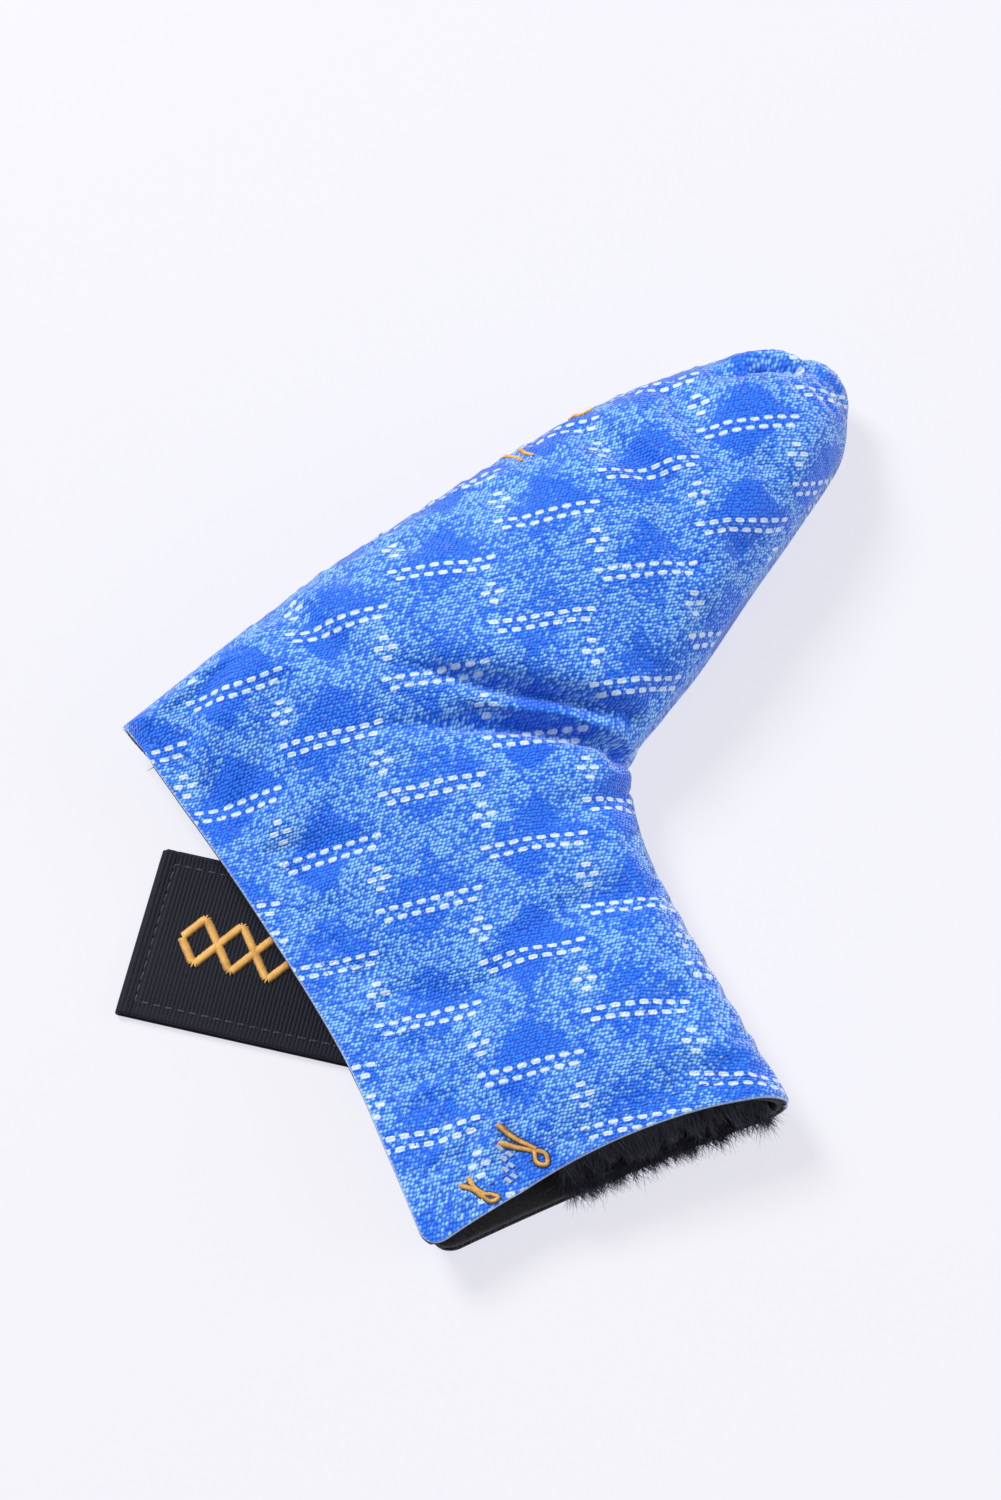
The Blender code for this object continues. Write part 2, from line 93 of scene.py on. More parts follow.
# Heights above the back panel by rib, as (rib, value) stations.
OUTER_HEIGHT = [(0, 9), (4, 8.6), (8, 9.4), (10, 17), (12, 22), (15, 25), (18, 24.5), (20, 22), (22, 15)]
INNER_HEIGHT = [(0, 14), (4, 15), (8, 18), (12, 20), (17, 22), (20, 20.5), (22, 14)]
CROWN = [(0, 3.5), (4, 4), (7, 6), (12, 7), (16, 6), (20, 4), (22, 1.5)]
FLAT_CLOSURE = [(0, 22), (3, 20), (7, 6), (8, 0), (22, 0)]
OUTER_RADIUS = [(0, 5.5), (8, 5.5), (12, 12), (20, 12), (22, 8)]
INNER_RADIUS = [(0, 7), (8, 8), (14, 10), (22, 8)]
SEAM_RISE = 0.15  # how far over mid height the head's inner seam lies, as a part of the height
STATION_BLUR = 0.9  # ribs over which the stations are smoothed
SPAN_STEPS = 32  # steps between two points of an outline
LIFT = 3.2  # how far the tab lifts the back off the floor, at the heel
LIFT_FULL_TO, LIFT_NONE_FROM = 45, 85
TOE_BULGE, TOE_CAP_START = 4.2, math.radians(40)

# The grid.
RIM_WIDTH, RIM_ROWS = 1.6, 5
HEEL_PITCH, SOLE_PITCH, TOE_PITCH = 1.4, 1.35, 0.8
TOE_FROM_RIB = 10.5  # ribs along the sole before the rows get closer
TOE_ROWS = 9
OUTER_TURN, FRONT_STEPS, INNER_TURN, BACK_STEPS = 10, 72, 9, 44

# Layers, as depths below the canvas's outer surface.
CANVAS_THICK = 1.1
BACKING = (1.2, 2.9)
BACKING_FROM_MOUTH = 0.15
BOUND_WIDTH = 60  # how far in from an open edge the canvas's inner side is bound in black
BACK_RIM = 0.3  # how much of the back's outer side the same binding covers

UP = np.array([0.0, 0, 1])


def smooth(value):
    value = np.clip(value, 0, 1)
    return value * value * (3 - 2 * value)


def run_along(points, axis=0):
    """How far along a line, or along each line of a grid, its points lie."""
    steps = np.linalg.norm(np.diff(points, axis=axis), axis=-1)
    return np.insert(np.cumsum(steps, axis=axis), 0, 0, axis=axis)


def unit(vectors):
    """The vectors at length 1."""
    return vectors / np.maximum(np.linalg.norm(vectors, axis=-1, keepdims=True), 1e-9)


def softened(values, reach):
    """Values smoothed over this many neighbours to each side."""
    window = np.hanning(2 * reach + 3)
    return np.convolve(np.pad(values, reach + 1, mode="edge"), window / window.sum(), mode="valid")


def blurred(stations, fineness=20):
    """The stations as a smooth function of the rib."""
    ribs = np.arange(-2 * fineness, (LAST_RIB + 2) * fineness + 1) / fineness
    known = np.array(stations, float)
    values = softened(np.interp(ribs, known[:, 0], known[:, 1]), int(STATION_BLUR * fineness))
    return lambda rib: np.interp(rib, ribs, values)


def spline(points, fineness=SPAN_STEPS):
    """A smooth curve through a few points, and the length at each of its own points."""
    ends = np.array(points, float)
    control = np.vstack([2 * ends[0] - ends[1], ends, 2 * ends[-1] - ends[-2]])
    t = np.linspace(0, 1, fineness, endpoint=False)[:, None]
    spans = [
        0.5 * (2 * b + (c - a) * t + (2 * a - 5 * b + 4 * c - d) * t**2 + (3 * b - a - 3 * c + d) * t**3)
        for a, b, c, d in zip(control, control[1:], control[2:], control[3:])
    ]
    line = np.vstack([*spans, ends[-1:]])
    return line, run_along(line)


def at(path, length):
    """The point at each length along a path, which is a line and the length at each of its points."""
    line, lengths = path
    return np.stack([np.interp(length, lengths, values) for values in np.transpose(line)], axis=-1)


def straight(corners):
    """A path of straight lines between corners."""
    return np.array(corners, float), run_along(corners)


def evenly(path, count):
    """Evenly spaced points along a path."""
    return at(path, np.linspace(0, path[1][-1], count))


HEEL_PATH, SOLE_PATH, INNER_PATH = spline(HEEL_EDGE), spline(SOLE), spline(INNER_EDGE)
HEEL_LENGTH, SOLE_LENGTH, INNER_LENGTH = HEEL_PATH[1][-1], SOLE_PATH[1][-1], INNER_PATH[1][-1]
BEND_LENGTH = INNER_PATH[1][BEND_POINT * SPAN_STEPS]
RIB_PITCH = HEEL_LENGTH / HEEL_RIBS
outer_height, inner_height = blurred(OUTER_HEIGHT), blurred(INNER_HEIGHT)
crown, flat_closure = blurred(CROWN), blurred(FLAT_CLOSURE)
outer_radius, inner_radius = blurred(OUTER_RADIUS), blurred(INNER_RADIUS)


def rib_ends(rib):
    """The outer and inner ends of ribs. Ribs crowd together at the inner bend."""
    rib = np.asarray(rib, float)
    heel_part = np.clip(rib / HEEL_RIBS, 0, 1)
    sole_part = np.clip((rib - HEEL_RIBS) / SOLE_RIBS, 0, 1)
    on_heel = (rib <= HEEL_RIBS)[..., None]
    outer = np.where(on_heel, at(HEEL_PATH, heel_part * HEEL_LENGTH), at(SOLE_PATH, sole_part * SOLE_LENGTH))
    left = 1 - heel_part
    neck = BEND_LENGTH * (1 - 0.8 * left**2 - 0.2 * left)
    head = BEND_LENGTH + (INNER_LENGTH - BEND_LENGTH) * (0.8 * sole_part**1.5 + 0.2 * sole_part)
    return outer, at(INNER_PATH, np.where(rib <= HEEL_RIBS, neck, head))


def openness(rib):
    """1 where the heel edge is open and 0 where it has closed into the sole fold."""
    return 1 - smooth((rib - OPEN_TO) / (CLOSED_FROM - OPEN_TO))


def lift(x):
    """How far the back lies above the floor."""
    return LIFT * (1 - smooth((x - LIFT_FULL_TO) / (LIFT_NONE_FROM - LIFT_FULL_TO)))


def quads(index):
    """Faces between neighbouring rows and columns of an index grid."""
    corners = [index[:-1, :-1], index[:-1, 1:], index[1:, 1:], index[1:, :-1]]
    faces = np.stack([corner.ravel() for corner in corners], axis=1)
    whole = [len(set(face)) == 4 for face in faces.tolist()]
    return faces[whole]


def normals_of(points, faces):
    """Unit normals at the points of a mesh of quads."""
    corners = points[faces]
    across = np.cross(corners[:, 2] - corners[:, 0], corners[:, 3] - corners[:, 1])
    total = np.zeros_like(points)
    for corner in range(4):
        np.add.at(total, faces[:, corner], across)
    return unit(total)


def grid_rows():
    """Each row's rib: close together at the mouth's rim and round the toe."""
    rim = RIM_WIDTH * (1 - np.cos(np.linspace(0, math.pi / 2, RIM_ROWS + 1)))
    heel_count = int((HEEL_LENGTH - RIM_WIDTH) / HEEL_PITCH)
    heel = np.linspace(RIM_WIDTH, HEEL_LENGTH, heel_count + 1)[1:]
    rib = SOLE_LENGTH / SOLE_RIBS
    sole = np.arange(1, int(TOE_FROM_RIB * rib / SOLE_PITCH)) * SOLE_PITCH / rib
    toe = np.linspace(TOE_FROM_RIB, SOLE_RIBS, int((SOLE_RIBS - TOE_FROM_RIB) * rib / TOE_PITCH) + 1)
    sole = np.concatenate([sole, toe])
    return np.concatenate([np.concatenate([rim, heel]) / RIB_PITCH, HEEL_RIBS + sole])


def grid_columns():
    """Each column's turn round the outer edge, part of the way across and turn round the inner edge."""
    quarter = math.pi / 2
    sides = []
    for steps in (FRONT_STEPS, BACK_STEPS):
        turns = np.pad(np.linspace(0, quarter, OUTER_TURN + 1), (0, steps + INNER_TURN), mode="edge")
        parts = np.pad(np.linspace(0, 1, steps + 1), (OUTER_TURN, INNER_TURN), mode="edge")
        ends = np.pad(np.linspace(quarter, 0, INNER_TURN + 1), (OUTER_TURN + steps, 0), mode="edge")
        sides.append(np.stack([turns, parts, ends]))
    front, back = sides
    return np.concatenate([front, back[:, -2::-1]], axis=1)


ROWS = grid_rows()
COLUMNS = grid_columns()
SEAM_COLUMN = OUTER_TURN + FRONT_STEPS + INNER_TURN
COLUMN_COUNT = COLUMNS.shape[1]
IS_BACK = np.arange(COLUMN_COUNT) > SEAM_COLUMN


def outer_surface():
    """The canvas's outer surface over the grid, with each point's distance to the heel edge and mouth."""
    rib = np.repeat(ROWS[:, None], COLUMN_COUNT, axis=1)
    outer, inner = rib_ends(rib)
    width = np.linalg.norm(inner - outer, axis=-1)
    opened = openness(rib)
    start = np.where(IS_BACK, BACK_INSET * opened, 0)
    first = np.minimum(outer_radius(rib), 0.45 * width)
    last = np.minimum(inner_radius(rib), 0.45 * width)
    turn, part, end = COLUMNS
    from_heel = first * (1 - np.cos(turn)) + (width - start - first - last) * part + last * np.cos(end)
    from_mouth = rib * RIB_PITCH
    p, q = (np.clip(1 - value / CORNER_RADIUS, 0, 1) for value in (from_heel, from_mouth))
    cornered = (p > 0) & (q > 0)
    rounded_heel = np.where(cornered, CORNER_RADIUS * (1 - p * np.sqrt(1 - q * q / 2)), from_heel)
    rounded_mouth = np.where(cornered, CORNER_RADIUS * (1 - q * np.sqrt(1 - p * p / 2)), from_mouth)
    rib = rounded_mouth / RIB_PITCH
    across = start + rounded_heel
    outer, inner = rib_ends(rib)
    width = np.linalg.norm(inner - outer, axis=-1)
    along = (inner - outer) / width[..., None]
    toward_toe = np.stack([-along[..., 1], along[..., 0]], axis=-1)
    fullness = (opened + (1 - opened) * np.sin(turn)) * np.sin(end)
    flat = flat_closure(rib)
    rise = np.clip((across - flat) / (width - flat), 0, 1)
    low, high = outer_height(rib), inner_height(rib)
    top = low + (high - low) * rise + 4 * crown(rib) * rise * (1 - rise)
    share = np.clip(across / width, 0, 1)
    seam_rise = SEAM_RISE * smooth((rib - HEEL_RIBS) / 1.5) * (1 - smooth((rib - 18) / 3))
    middle = (0.5 + seam_rise * share) * (low + (high - low) * share)
    height = np.where(IS_BACK, middle * (1 - fullness), middle + (top - middle) * fullness)
    bow = np.where(IS_BACK, BACK_BOW, FRONT_BOW) * np.clip(1 - rib / 2, 0, 1) * 4 * share * (1 - share)
    plan = outer + along * across[..., None] + toward_toe * bow[..., None]
    points = np.concatenate([plan, (height + lift(plan[..., 0]))[..., None]], axis=-1)
    points = np.concatenate([points, toe_cap(points[-1], toward_toe[-1, 0])])
    pad = ((0, TOE_ROWS), (0, 0))
    return points, np.pad(from_heel, pad, mode="edge"), np.pad(from_mouth, pad, mode="edge")


def toe_cap(ring, toward_toe):
    """Rows that round the toe off from the last rib's ring to a tip."""
    centre = ring.mean(axis=0)
    outward = np.array([*toward_toe, 0])
    turns = np.linspace(TOE_CAP_START, math.pi / 2, TOE_ROWS + 1)[1:]
    span = TOE_BULGE / (1 - math.sin(TOE_CAP_START))
    rows = []
    for turn in turns:
        size = max(math.cos(turn) / math.cos(TOE_CAP_START), 0.004)
        bulge = span * (math.sin(turn) - math.sin(TOE_CAP_START))
        rows.append(centre + (ring - centre) * size + outward * bulge)
    return np.array(rows)


# Creases of the front, as (points, height, half width): a valley has a negative height.
CREASES = [
    ([(87, -64.5), (76.4, -54.4), (67.4, -46.2), (54.4, -32.4), (45.4, -24)], -2.2, 2.4),
    ([(84, -72.5), (75.4, -62.6), (65.5, -53.8), (54, -46.6), (43.8, -38)], -2.0, 2.4),
    ([(85, -69.4), (75.4, -58.2), (66.4, -50), (54.2, -39.6)], 1.5, 1.7),
    ([(88, -60), (78, -47), (68.5, -36.8), (58, -26)], 2.2, 5.4),
    ([(84, -71), (67, -56.5), (51, -44.5), (35, -33)], -0.9, 9.0),
    ([(40, -4), (43, -17), (48, -30)], -1.9, 4.2),
    ([(31, -8), (34, -20), (37, -34)], 0.7, 4.5),
    ([(118, -10), (121, -24), (117, -38)], -1.9, 5.5),
    ([(139, -10), (136, -24), (142, -38)], -1.7, 4.8),
    ([(128, -14), (129, -28), (128, -40)], 0.6, 4.0),
    ([(144, -11.5), (159.4, -14.6), (166.5, -18.6), (173, -22)], -1.8, 2.2),
    ([(169.5, -20.2), (165.5, -17.8), (160, -14.8), (154, -13.4), (148, -12.6)], -2.0, 1.0),
    ([(168, -15.4), (163, -12.8), (157, -10.6), (150, -9)], 1.5, 2.4),
    ([(170.5, -22.5), (172, -27), (172.5, -34)], -0.4, 1.2),
    ([(167.5, -20.5), (169.5, -26), (170.5, -34)], -0.5, 1.2),
    ([(164.5, -18.8), (166, -25), (167, -34)], -0.5, 1.2),
    ([(161.5, -17), (162, -23), (162, -32)], -0.5, 1.2),
    ([(158, -16), (157, -22), (155, -32)], -0.5, 1.2),
    ([(154, -15.5), (151, -21), (147, -30)], -0.7, 1.3),
    ([(87, -64.9), (76.4, -54.8), (67.4, -46.8), (56.6, -35.4), (47.4, -26)], -1.7, 1.4),
    ([(84, -72.8), (75.4, -62.9), (65.5, -54.2), (54, -46.8), (40.6, -37.2), (30.6, -33.2)], -1.7, 1.4),
    ([(81, -78), (70, -76), (56, -68)], -1.2, 3.4),
    ([(2, -24), (14, -32), (30, -36)], -1.1, 5.0),
    ([(70, -98), (50, -94), (30, -101)], -0.8, 6.5),
    ([(60, -143), (48, -136), (30, -131)], -0.7, 4.5),
]

# Short pinches across the seam where the neck turns into the head.
NOTCHES = [
    ([(90, -75.5), (83.5, -71.5), (77, -69.5)], -1.5, 1.3),
    ([(88, -80), (81.5, -76.5), (75, -75)], -1.1, 1.1),
]
SEAM_DEPTH, SEAM_HALF_WIDTH = 0.9, 1.1  # how far the edge seam sinks into the surface


def crease_height(plan, creases):
    """How far creases raise each point of a plan."""
    raised = np.zeros(plan.shape[:-1])
    for points, height, half_width in creases:
        line, lengths = spline(points, 12)
        gap = np.full(plan.shape[:-1], np.inf)
        place = np.zeros(plan.shape[:-1])
        for point, length in zip(line, lengths):
            distance = np.hypot(plan[..., 0] - point[0], plan[..., 1] - point[1])
            place = np.where(distance < gap, length / lengths[-1], place)
            gap = np.minimum(gap, distance)
        taper = smooth((1 - place) / 0.45) * (0.6 + 0.4 * smooth(place / 0.2))
        raised += height * taper * np.exp(-((gap / half_width) ** 2))
    return raised


class Cover:
    """The grid's points, their outward normals and how they join into a surface."""

    def __init__(self):
        self.points, self.from_heel, self.from_mouth = outer_surface()
        self.shape = self.points.shape[:2]
        self.closed = np.concatenate([ROWS >= HEEL_RIBS - 1e-6, np.ones(TOE_ROWS, bool)])
        self.index = np.arange(self.shape[0] * self.shape[1]).reshape(self.shape)
        self.index[self.closed, -1] = self.index[self.closed, 0]
        self.faces = quads(self.index)
        self.is_back = np.broadcast_to(IS_BACK, self.shape)
        self.shape_front()
        shut = self.closed[:, None] | (self.from_heel > 30)
        self.from_edge = np.minimum(np.where(shut, 99, self.from_heel), self.from_mouth)
        self.points = self.points + self.settle()
        self.find_normals()
        self.tree = BVHTree.FromPolygons(self.points.reshape(-1, 3).tolist(), self.faces.tolist())

    def find_normals(self):
        self.normals = normals_of(self.points.reshape(-1, 3), self.faces)[self.index]

    def sample(self, row, column):
        """Points and normals at fractional rows and columns."""
        row, column = np.broadcast_arrays(np.asarray(row, float), np.asarray(column, float))
        i = np.clip(row.astype(int), 0, self.shape[0] - 2)
        j = np.clip(column.astype(int), 0, self.shape[1] - 2)
        p, q = (row - i)[..., None], (column - j)[..., None]
        found = []
        for values in (self.points, self.normals):
            near = values[i, j] * (1 - q) + values[i, j + 1] * q
            far = values[i + 1, j] * (1 - q) + values[i + 1, j + 1] * q
            found.append(near * (1 - p) + far * p)
        return found[0], unit(found[1])

    def row_at(self, from_mouth):
        return np.interp(from_mouth, self.from_mouth[: len(ROWS), 0], np.arange(len(ROWS)))

    def column_at(self, row, from_heel, back=False):
        """The column that lies this far from the heel edge, at a whole row."""
        columns = np.arange(self.shape[1] - 1, SEAM_COLUMN, -1) if back else np.arange(SEAM_COLUMN)
        return np.interp(from_heel, self.from_heel[row, columns], columns)

    def drop(self, plan, below=False):
        """Points and normals where vertical lines meet the front, or from below the back."""
        start, way, nearby = (-40, 1, 3) if below else (90, -1, 14)
        points, normals = [], []
        flat = self.normals.reshape(-1, 3)
        for x, y in plan.reshape(-1, 2):
            hit, _, face, _ = self.tree.ray_cast(Vector((x, y, start)), Vector((0, 0, way)))
            if hit is None:
                hit, _, face, _ = self.tree.find_nearest(Vector((x, y, nearby)))
            points.append(hit)
            normals.append(flat[self.faces[face]].mean(axis=0))
        shape = (*plan.shape[:-1], 3)
        return np.array(points).reshape(shape), unit(np.array(normals)).reshape(shape)

    def shape_front(self):
        """Sinks the creases and the edge seam into the surface, and keeps how it was without them."""
        self.find_normals()
        self.plain, self.plain_normals = self.points, self.normals
        self.run = run_along(self.points, axis=1)
        self.from_seam = np.abs(self.run - self.run[:, SEAM_COLUMN : SEAM_COLUMN + 1])
        plan = self.points[..., :2]
        raised = np.where(self.is_back, 0, crease_height(plan, CREASES))
        raised *= smooth(self.from_seam / 8) * smooth(self.normals[..., 2] * 1.8)
        raised += crease_height(plan, NOTCHES) * (self.from_seam < 20)
        raised -= SEAM_DEPTH * np.exp(-((self.from_seam / SEAM_HALF_WIDTH) ** 2))
        raised[-TOE_ROWS:] *= np.linspace(1, 0, TOE_ROWS)[:, None]
        self.points = self.points + self.normals * raised[..., None]
        self.find_normals()

    def settle(self):
        """How the front moves when its canvas settles as slack cloth over the padding."""
        rows = every_other(0, self.shape[0] - 1)
        columns = every_other(0, SEAM_COLUMN, self.shape[1] - 1)
        pick = np.ix_(rows, columns)
        index = np.arange(len(rows) * len(columns)).reshape(len(rows), len(columns))
        closed = self.closed[rows]
        index[closed, -1] = index[closed, 0]
        used, faces = np.unique(quads(index), return_inverse=True)
        away = [self.from_seam - HELD_SEAM, self.from_edge - HELD_EDGE, self.run - HELD_FOLD]
        held = 1 - smooth(np.minimum.reduce(away) / HELD_FADE)
        held = np.where(self.is_back, 1, held)[pick].ravel()
        start = self.points[pick].reshape(-1, 3)
        moves = np.zeros_like(start)
        moves[used] = settled(start[used], faces.reshape(-1, 4), held[used]) - start[used]
        moves = moves[index]
        reach = np.linalg.norm(moves, axis=-1, keepdims=True)
        moves *= CLOTH_REACH * np.tanh(reach / CLOTH_REACH) / np.maximum(reach, 1e-6)
        return np.where(self.is_back[..., None], 0, spread(moves, rows, columns, self.shape))


# The cloth simulation, on a coarse copy of the canvas ten times its real size.
CLOTH_SCALE = 0.01
CLOTH_FRAMES = 22
CLOTH_SLACK = 0.035  # how much longer the cloth is than the surface it starts from
CLOTH_REACH = 2.2  # the furthest it may move a point, in millimetres
# How far the cloth is held from the seam, the open edges and the folds, and over how far it comes free.
HELD_SEAM, HELD_EDGE, HELD_FOLD, HELD_FADE = 1.5, 2, 6, 9
CLOTH_SETTINGS = {
    "quality": 6, "mass": 0.3, "tension_stiffness": 25, "compression_stiffness": 25, "shear_stiffness": 12,
    "bending_stiffness": 1.2, "shrink_min": -CLOTH_SLACK, "use_pressure": True, "uniform_pressure_force": 0.6,
    "pin_stiffness": 1,
}


def every_other(*stops):
    """Every second whole number between the stops, and the stops themselves."""
    return np.unique([number for a, b in zip(stops, stops[1:]) for number in (*range(a, b, 2), b)])


def spread(values, rows, columns, shape):
    """Values known on some rows and columns of a grid, over the whole of it."""
    down = at((values.reshape(len(rows), -1), rows), np.arange(shape[0]))
    turned = down.reshape(shape[0], len(columns), 3).swapaxes(0, 1)
    across = at((turned.reshape(len(columns), -1), columns), np.arange(shape[1]))
    return across.reshape(shape[1], shape[0], 3).swapaxes(0, 1)


def settled(points, faces, held):
    """Where slack, puffed cloth comes to rest. Held points stay where they are."""
    mesh = bpy.data.meshes.new("settling")
    mesh.from_pydata((points * CLOTH_SCALE).tolist(), [], faces.tolist())
    piece = add_object("settling", mesh)
    group = piece.vertex_groups.new(name="held")
    for place, weight in enumerate(held):
        group.add([place], float(weight), "REPLACE")
    cloth = piece.modifiers.new("cloth", "CLOTH")
    for setting, value in CLOTH_SETTINGS.items():
        setattr(cloth.settings, setting, value)
    cloth.settings.vertex_group_mass = group.name
    cloth.settings.effector_weights.gravity = 0
    cloth.collision_settings.use_collision = False
    cloth.point_cache.frame_start, cloth.point_cache.frame_end = 1, CLOTH_FRAMES
    for number in range(1, CLOTH_FRAMES + 1):
        bpy.context.scene.frame_set(number)
    result = piece.evaluated_get(bpy.context.evaluated_depsgraph_get()).data
    moved = np.zeros(len(points) * 3, np.float32)
    result.vertices.foreach_get("co", moved)
    bpy.context.scene.frame_set(1)
    bpy.data.objects.remove(piece)
    bpy.data.meshes.remove(mesh)
    return moved.reshape(-1, 3) / CLOTH_SCALE


def in_frame(points):
    """Points of the drawing in the frame's metres."""
    return (points + HEEL_CORNER) * MM


def add_object(name, data):
    made = bpy.data.objects.new(name, data)
    bpy.context.scene.collection.objects.link(made)
    return made


def mesh_object(name, points, faces, material):
    """A mesh from points in the drawing's millimetres."""
    mesh = bpy.data.meshes.new(name)
    places = in_frame(np.reshape(points, (-1, 3))).tolist()
    mesh.from_pydata(places, [], [list(map(int, face)) for face in faces])
    mesh.validate()
    mesh.shade_smooth()
    mesh.materials.append(material)
    return add_object(name, mesh)


def shell(name, points, normals, index, depths, rim, material):
    """A closed layer between two depths. rim is the distance to its open edge, which is half round."""
    half = (depths[1] - depths[0]) / 2
    inset = np.clip(rim / half, 0, 1)
    offsets = normals * (half * np.sqrt(1 - (1 - inset) ** 2))[..., None]
    return two_skins(name, points - normals * (depths[0] + half), offsets, index, rim < 1e-6, material)


def two_skins(name, middle, offsets, index, sealed, material):
    """A closed layer that lies to both sides of its middle, and the grid point of each of its own points."""
    count = middle.size // 3
    faces = np.concatenate([quads(index), quads(np.where(sealed, index, index + count))[:, ::-1]])
    used, compact = np.unique(faces, return_inverse=True)
    skins = np.concatenate([(middle + offsets).reshape(-1, 3), (middle - offsets).reshape(-1, 3)])
    return mesh_object(name, skins[used], compact.reshape(faces.shape), material), used


def flat_map(cover):
    """Where each grid point lies on the flat cloth, in millimetres, on its own side of the sole fold.

    The front is taken from its middle outwards along each rib. The back is the
    same cloth turned over the sole, so it is a reflection in the fold line.
    """
    last = len(ROWS) - 1
    along = unit(cover.plain[:, SEAM_COLUMN, :2] - cover.plain[:, 0, :2])
    along[last + 1 :] = along[last]
    sides = []
    front_middle, back_middle = OUTER_TURN + FRONT_STEPS // 2, SEAM_COLUMN + INNER_TURN + BACK_STEPS // 2
    for middle, sign in ((front_middle, 1), (back_middle, -1)):
        travelled = sign * (cover.run - cover.run[:, middle : middle + 1])
        sides.append(cover.plain[:, middle : middle + 1, :2] + along[:, None, :] * travelled[..., None])
    front, back = sides
    fold = cover.closed & (np.arange(len(cover.closed)) <= last)
    fold_y = np.interp(back[..., 0], front[fold, 0, 0], 0.5 * (front[fold, 0, 1] + back[fold, -1, 1]))
    return front, np.stack([back[..., 0], 2 * fold_y - back[..., 1]], axis=-1)


def add_flat_map(piece, used, cover):
    """Stores the flat map as a UV map in millimetres: each face uses the map of its own side."""
    front, back = (side.reshape(-1, 2) for side in flat_map(cover))
    columns = cover.shape[1]
    layer = piece.data.uv_layers.new(name="flat")
    values = np.zeros((len(piece.data.loops), 2), np.float32)
    for polygon in piece.data.polygons:
        corners = used[list(polygon.vertices)] % len(front)
        places = corners % columns
        wraps = places.max() - places.min() > columns // 2
        if wraps:
            corners = np.where(places == 0, corners + columns - 1, corners)
        side = back if wraps or places.max() > SEAM_COLUMN else front
        values[list(polygon.loop_indices)] = side[corners]
    layer.data.foreach_set("uv", values.ravel())


def add_attribute(piece, name, values):
    attribute = piece.data.attributes.new(name, "FLOAT", "POINT")
    attribute.data.foreach_set("value", np.asarray(values, np.float32))


def on_flap(piece, still=None):
    """The piece bends from the cover to the flap. Points marked still keep to the cover."""
    across, along = (HINGE_MOUTH - HINGE_TOP)[:2]
    end = HINGE_TOP + np.array([along, -across, 0]) * (FLAP_BEND / math.hypot(across, along))
    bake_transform(piece, "cover", "front_flap", *(tuple((p + HEEL_CORNER) * MM) for p in (HINGE_TOP, end)))
    if still is not None:
        weights = np.zeros(len(piece.data.vertices), np.float32)
        stored = piece.data.attributes["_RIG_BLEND"].data
        stored.foreach_get("value", weights)
        weights[still] = 0
        stored.foreach_set("value", weights)


# ---------------------------------------------------------------- materials


def feed(tree, socket, value):
    """Links a field or another node's socket to an input, or sets the input's own number or colour."""
    if isinstance(value, Field):
        value = value.socket
    if isinstance(value, bpy.types.NodeSocket):
        tree.links.new(value, socket)
    else:
        socket.default_value = (*value, 1) if isinstance(value, tuple) else value


class Field:
    """A number that varies over a surface: the output of a node, with arithmetic on it."""

    def __init__(self, tree, socket):
        self.tree, self.socket = tree, socket

    def math(self, operation, *others):
        node = self.tree.nodes.new("ShaderNodeMath")
        node.operation = operation
        for socket, value in zip(node.inputs, (self, *others)):
            feed(self.tree, socket, value)
        return Field(self.tree, node.outputs[0])

    __add__ = __radd__ = functools.partialmethod(math, "ADD")
    __mul__ = __rmul__ = functools.partialmethod(math, "MULTIPLY")
    __sub__ = functools.partialmethod(math, "SUBTRACT")
    __truediv__ = functools.partialmethod(math, "DIVIDE")
    __abs__ = functools.partialmethod(math, "ABSOLUTE")
    below = functools.partialmethod(math, "LESS_THAN")
    at_least = functools.partialmethod(math, "MAXIMUM")
    fract = functools.partialmethod(math, "FRACT")

    def __rsub__(self, other):
        return (self * -1) + other

    def ramp(self, low, high):
        """0 below low, 1 above high and smooth between them."""
        node = self.tree.nodes.new("ShaderNodeMapRange")
        node.interpolation_type = "SMOOTHSTEP"
        for name, value in (("Value", self), ("From Min", low), ("From Max", high)):
            feed(self.tree, node.inputs[name], value)
        return Field(self.tree, node.outputs["Result"])


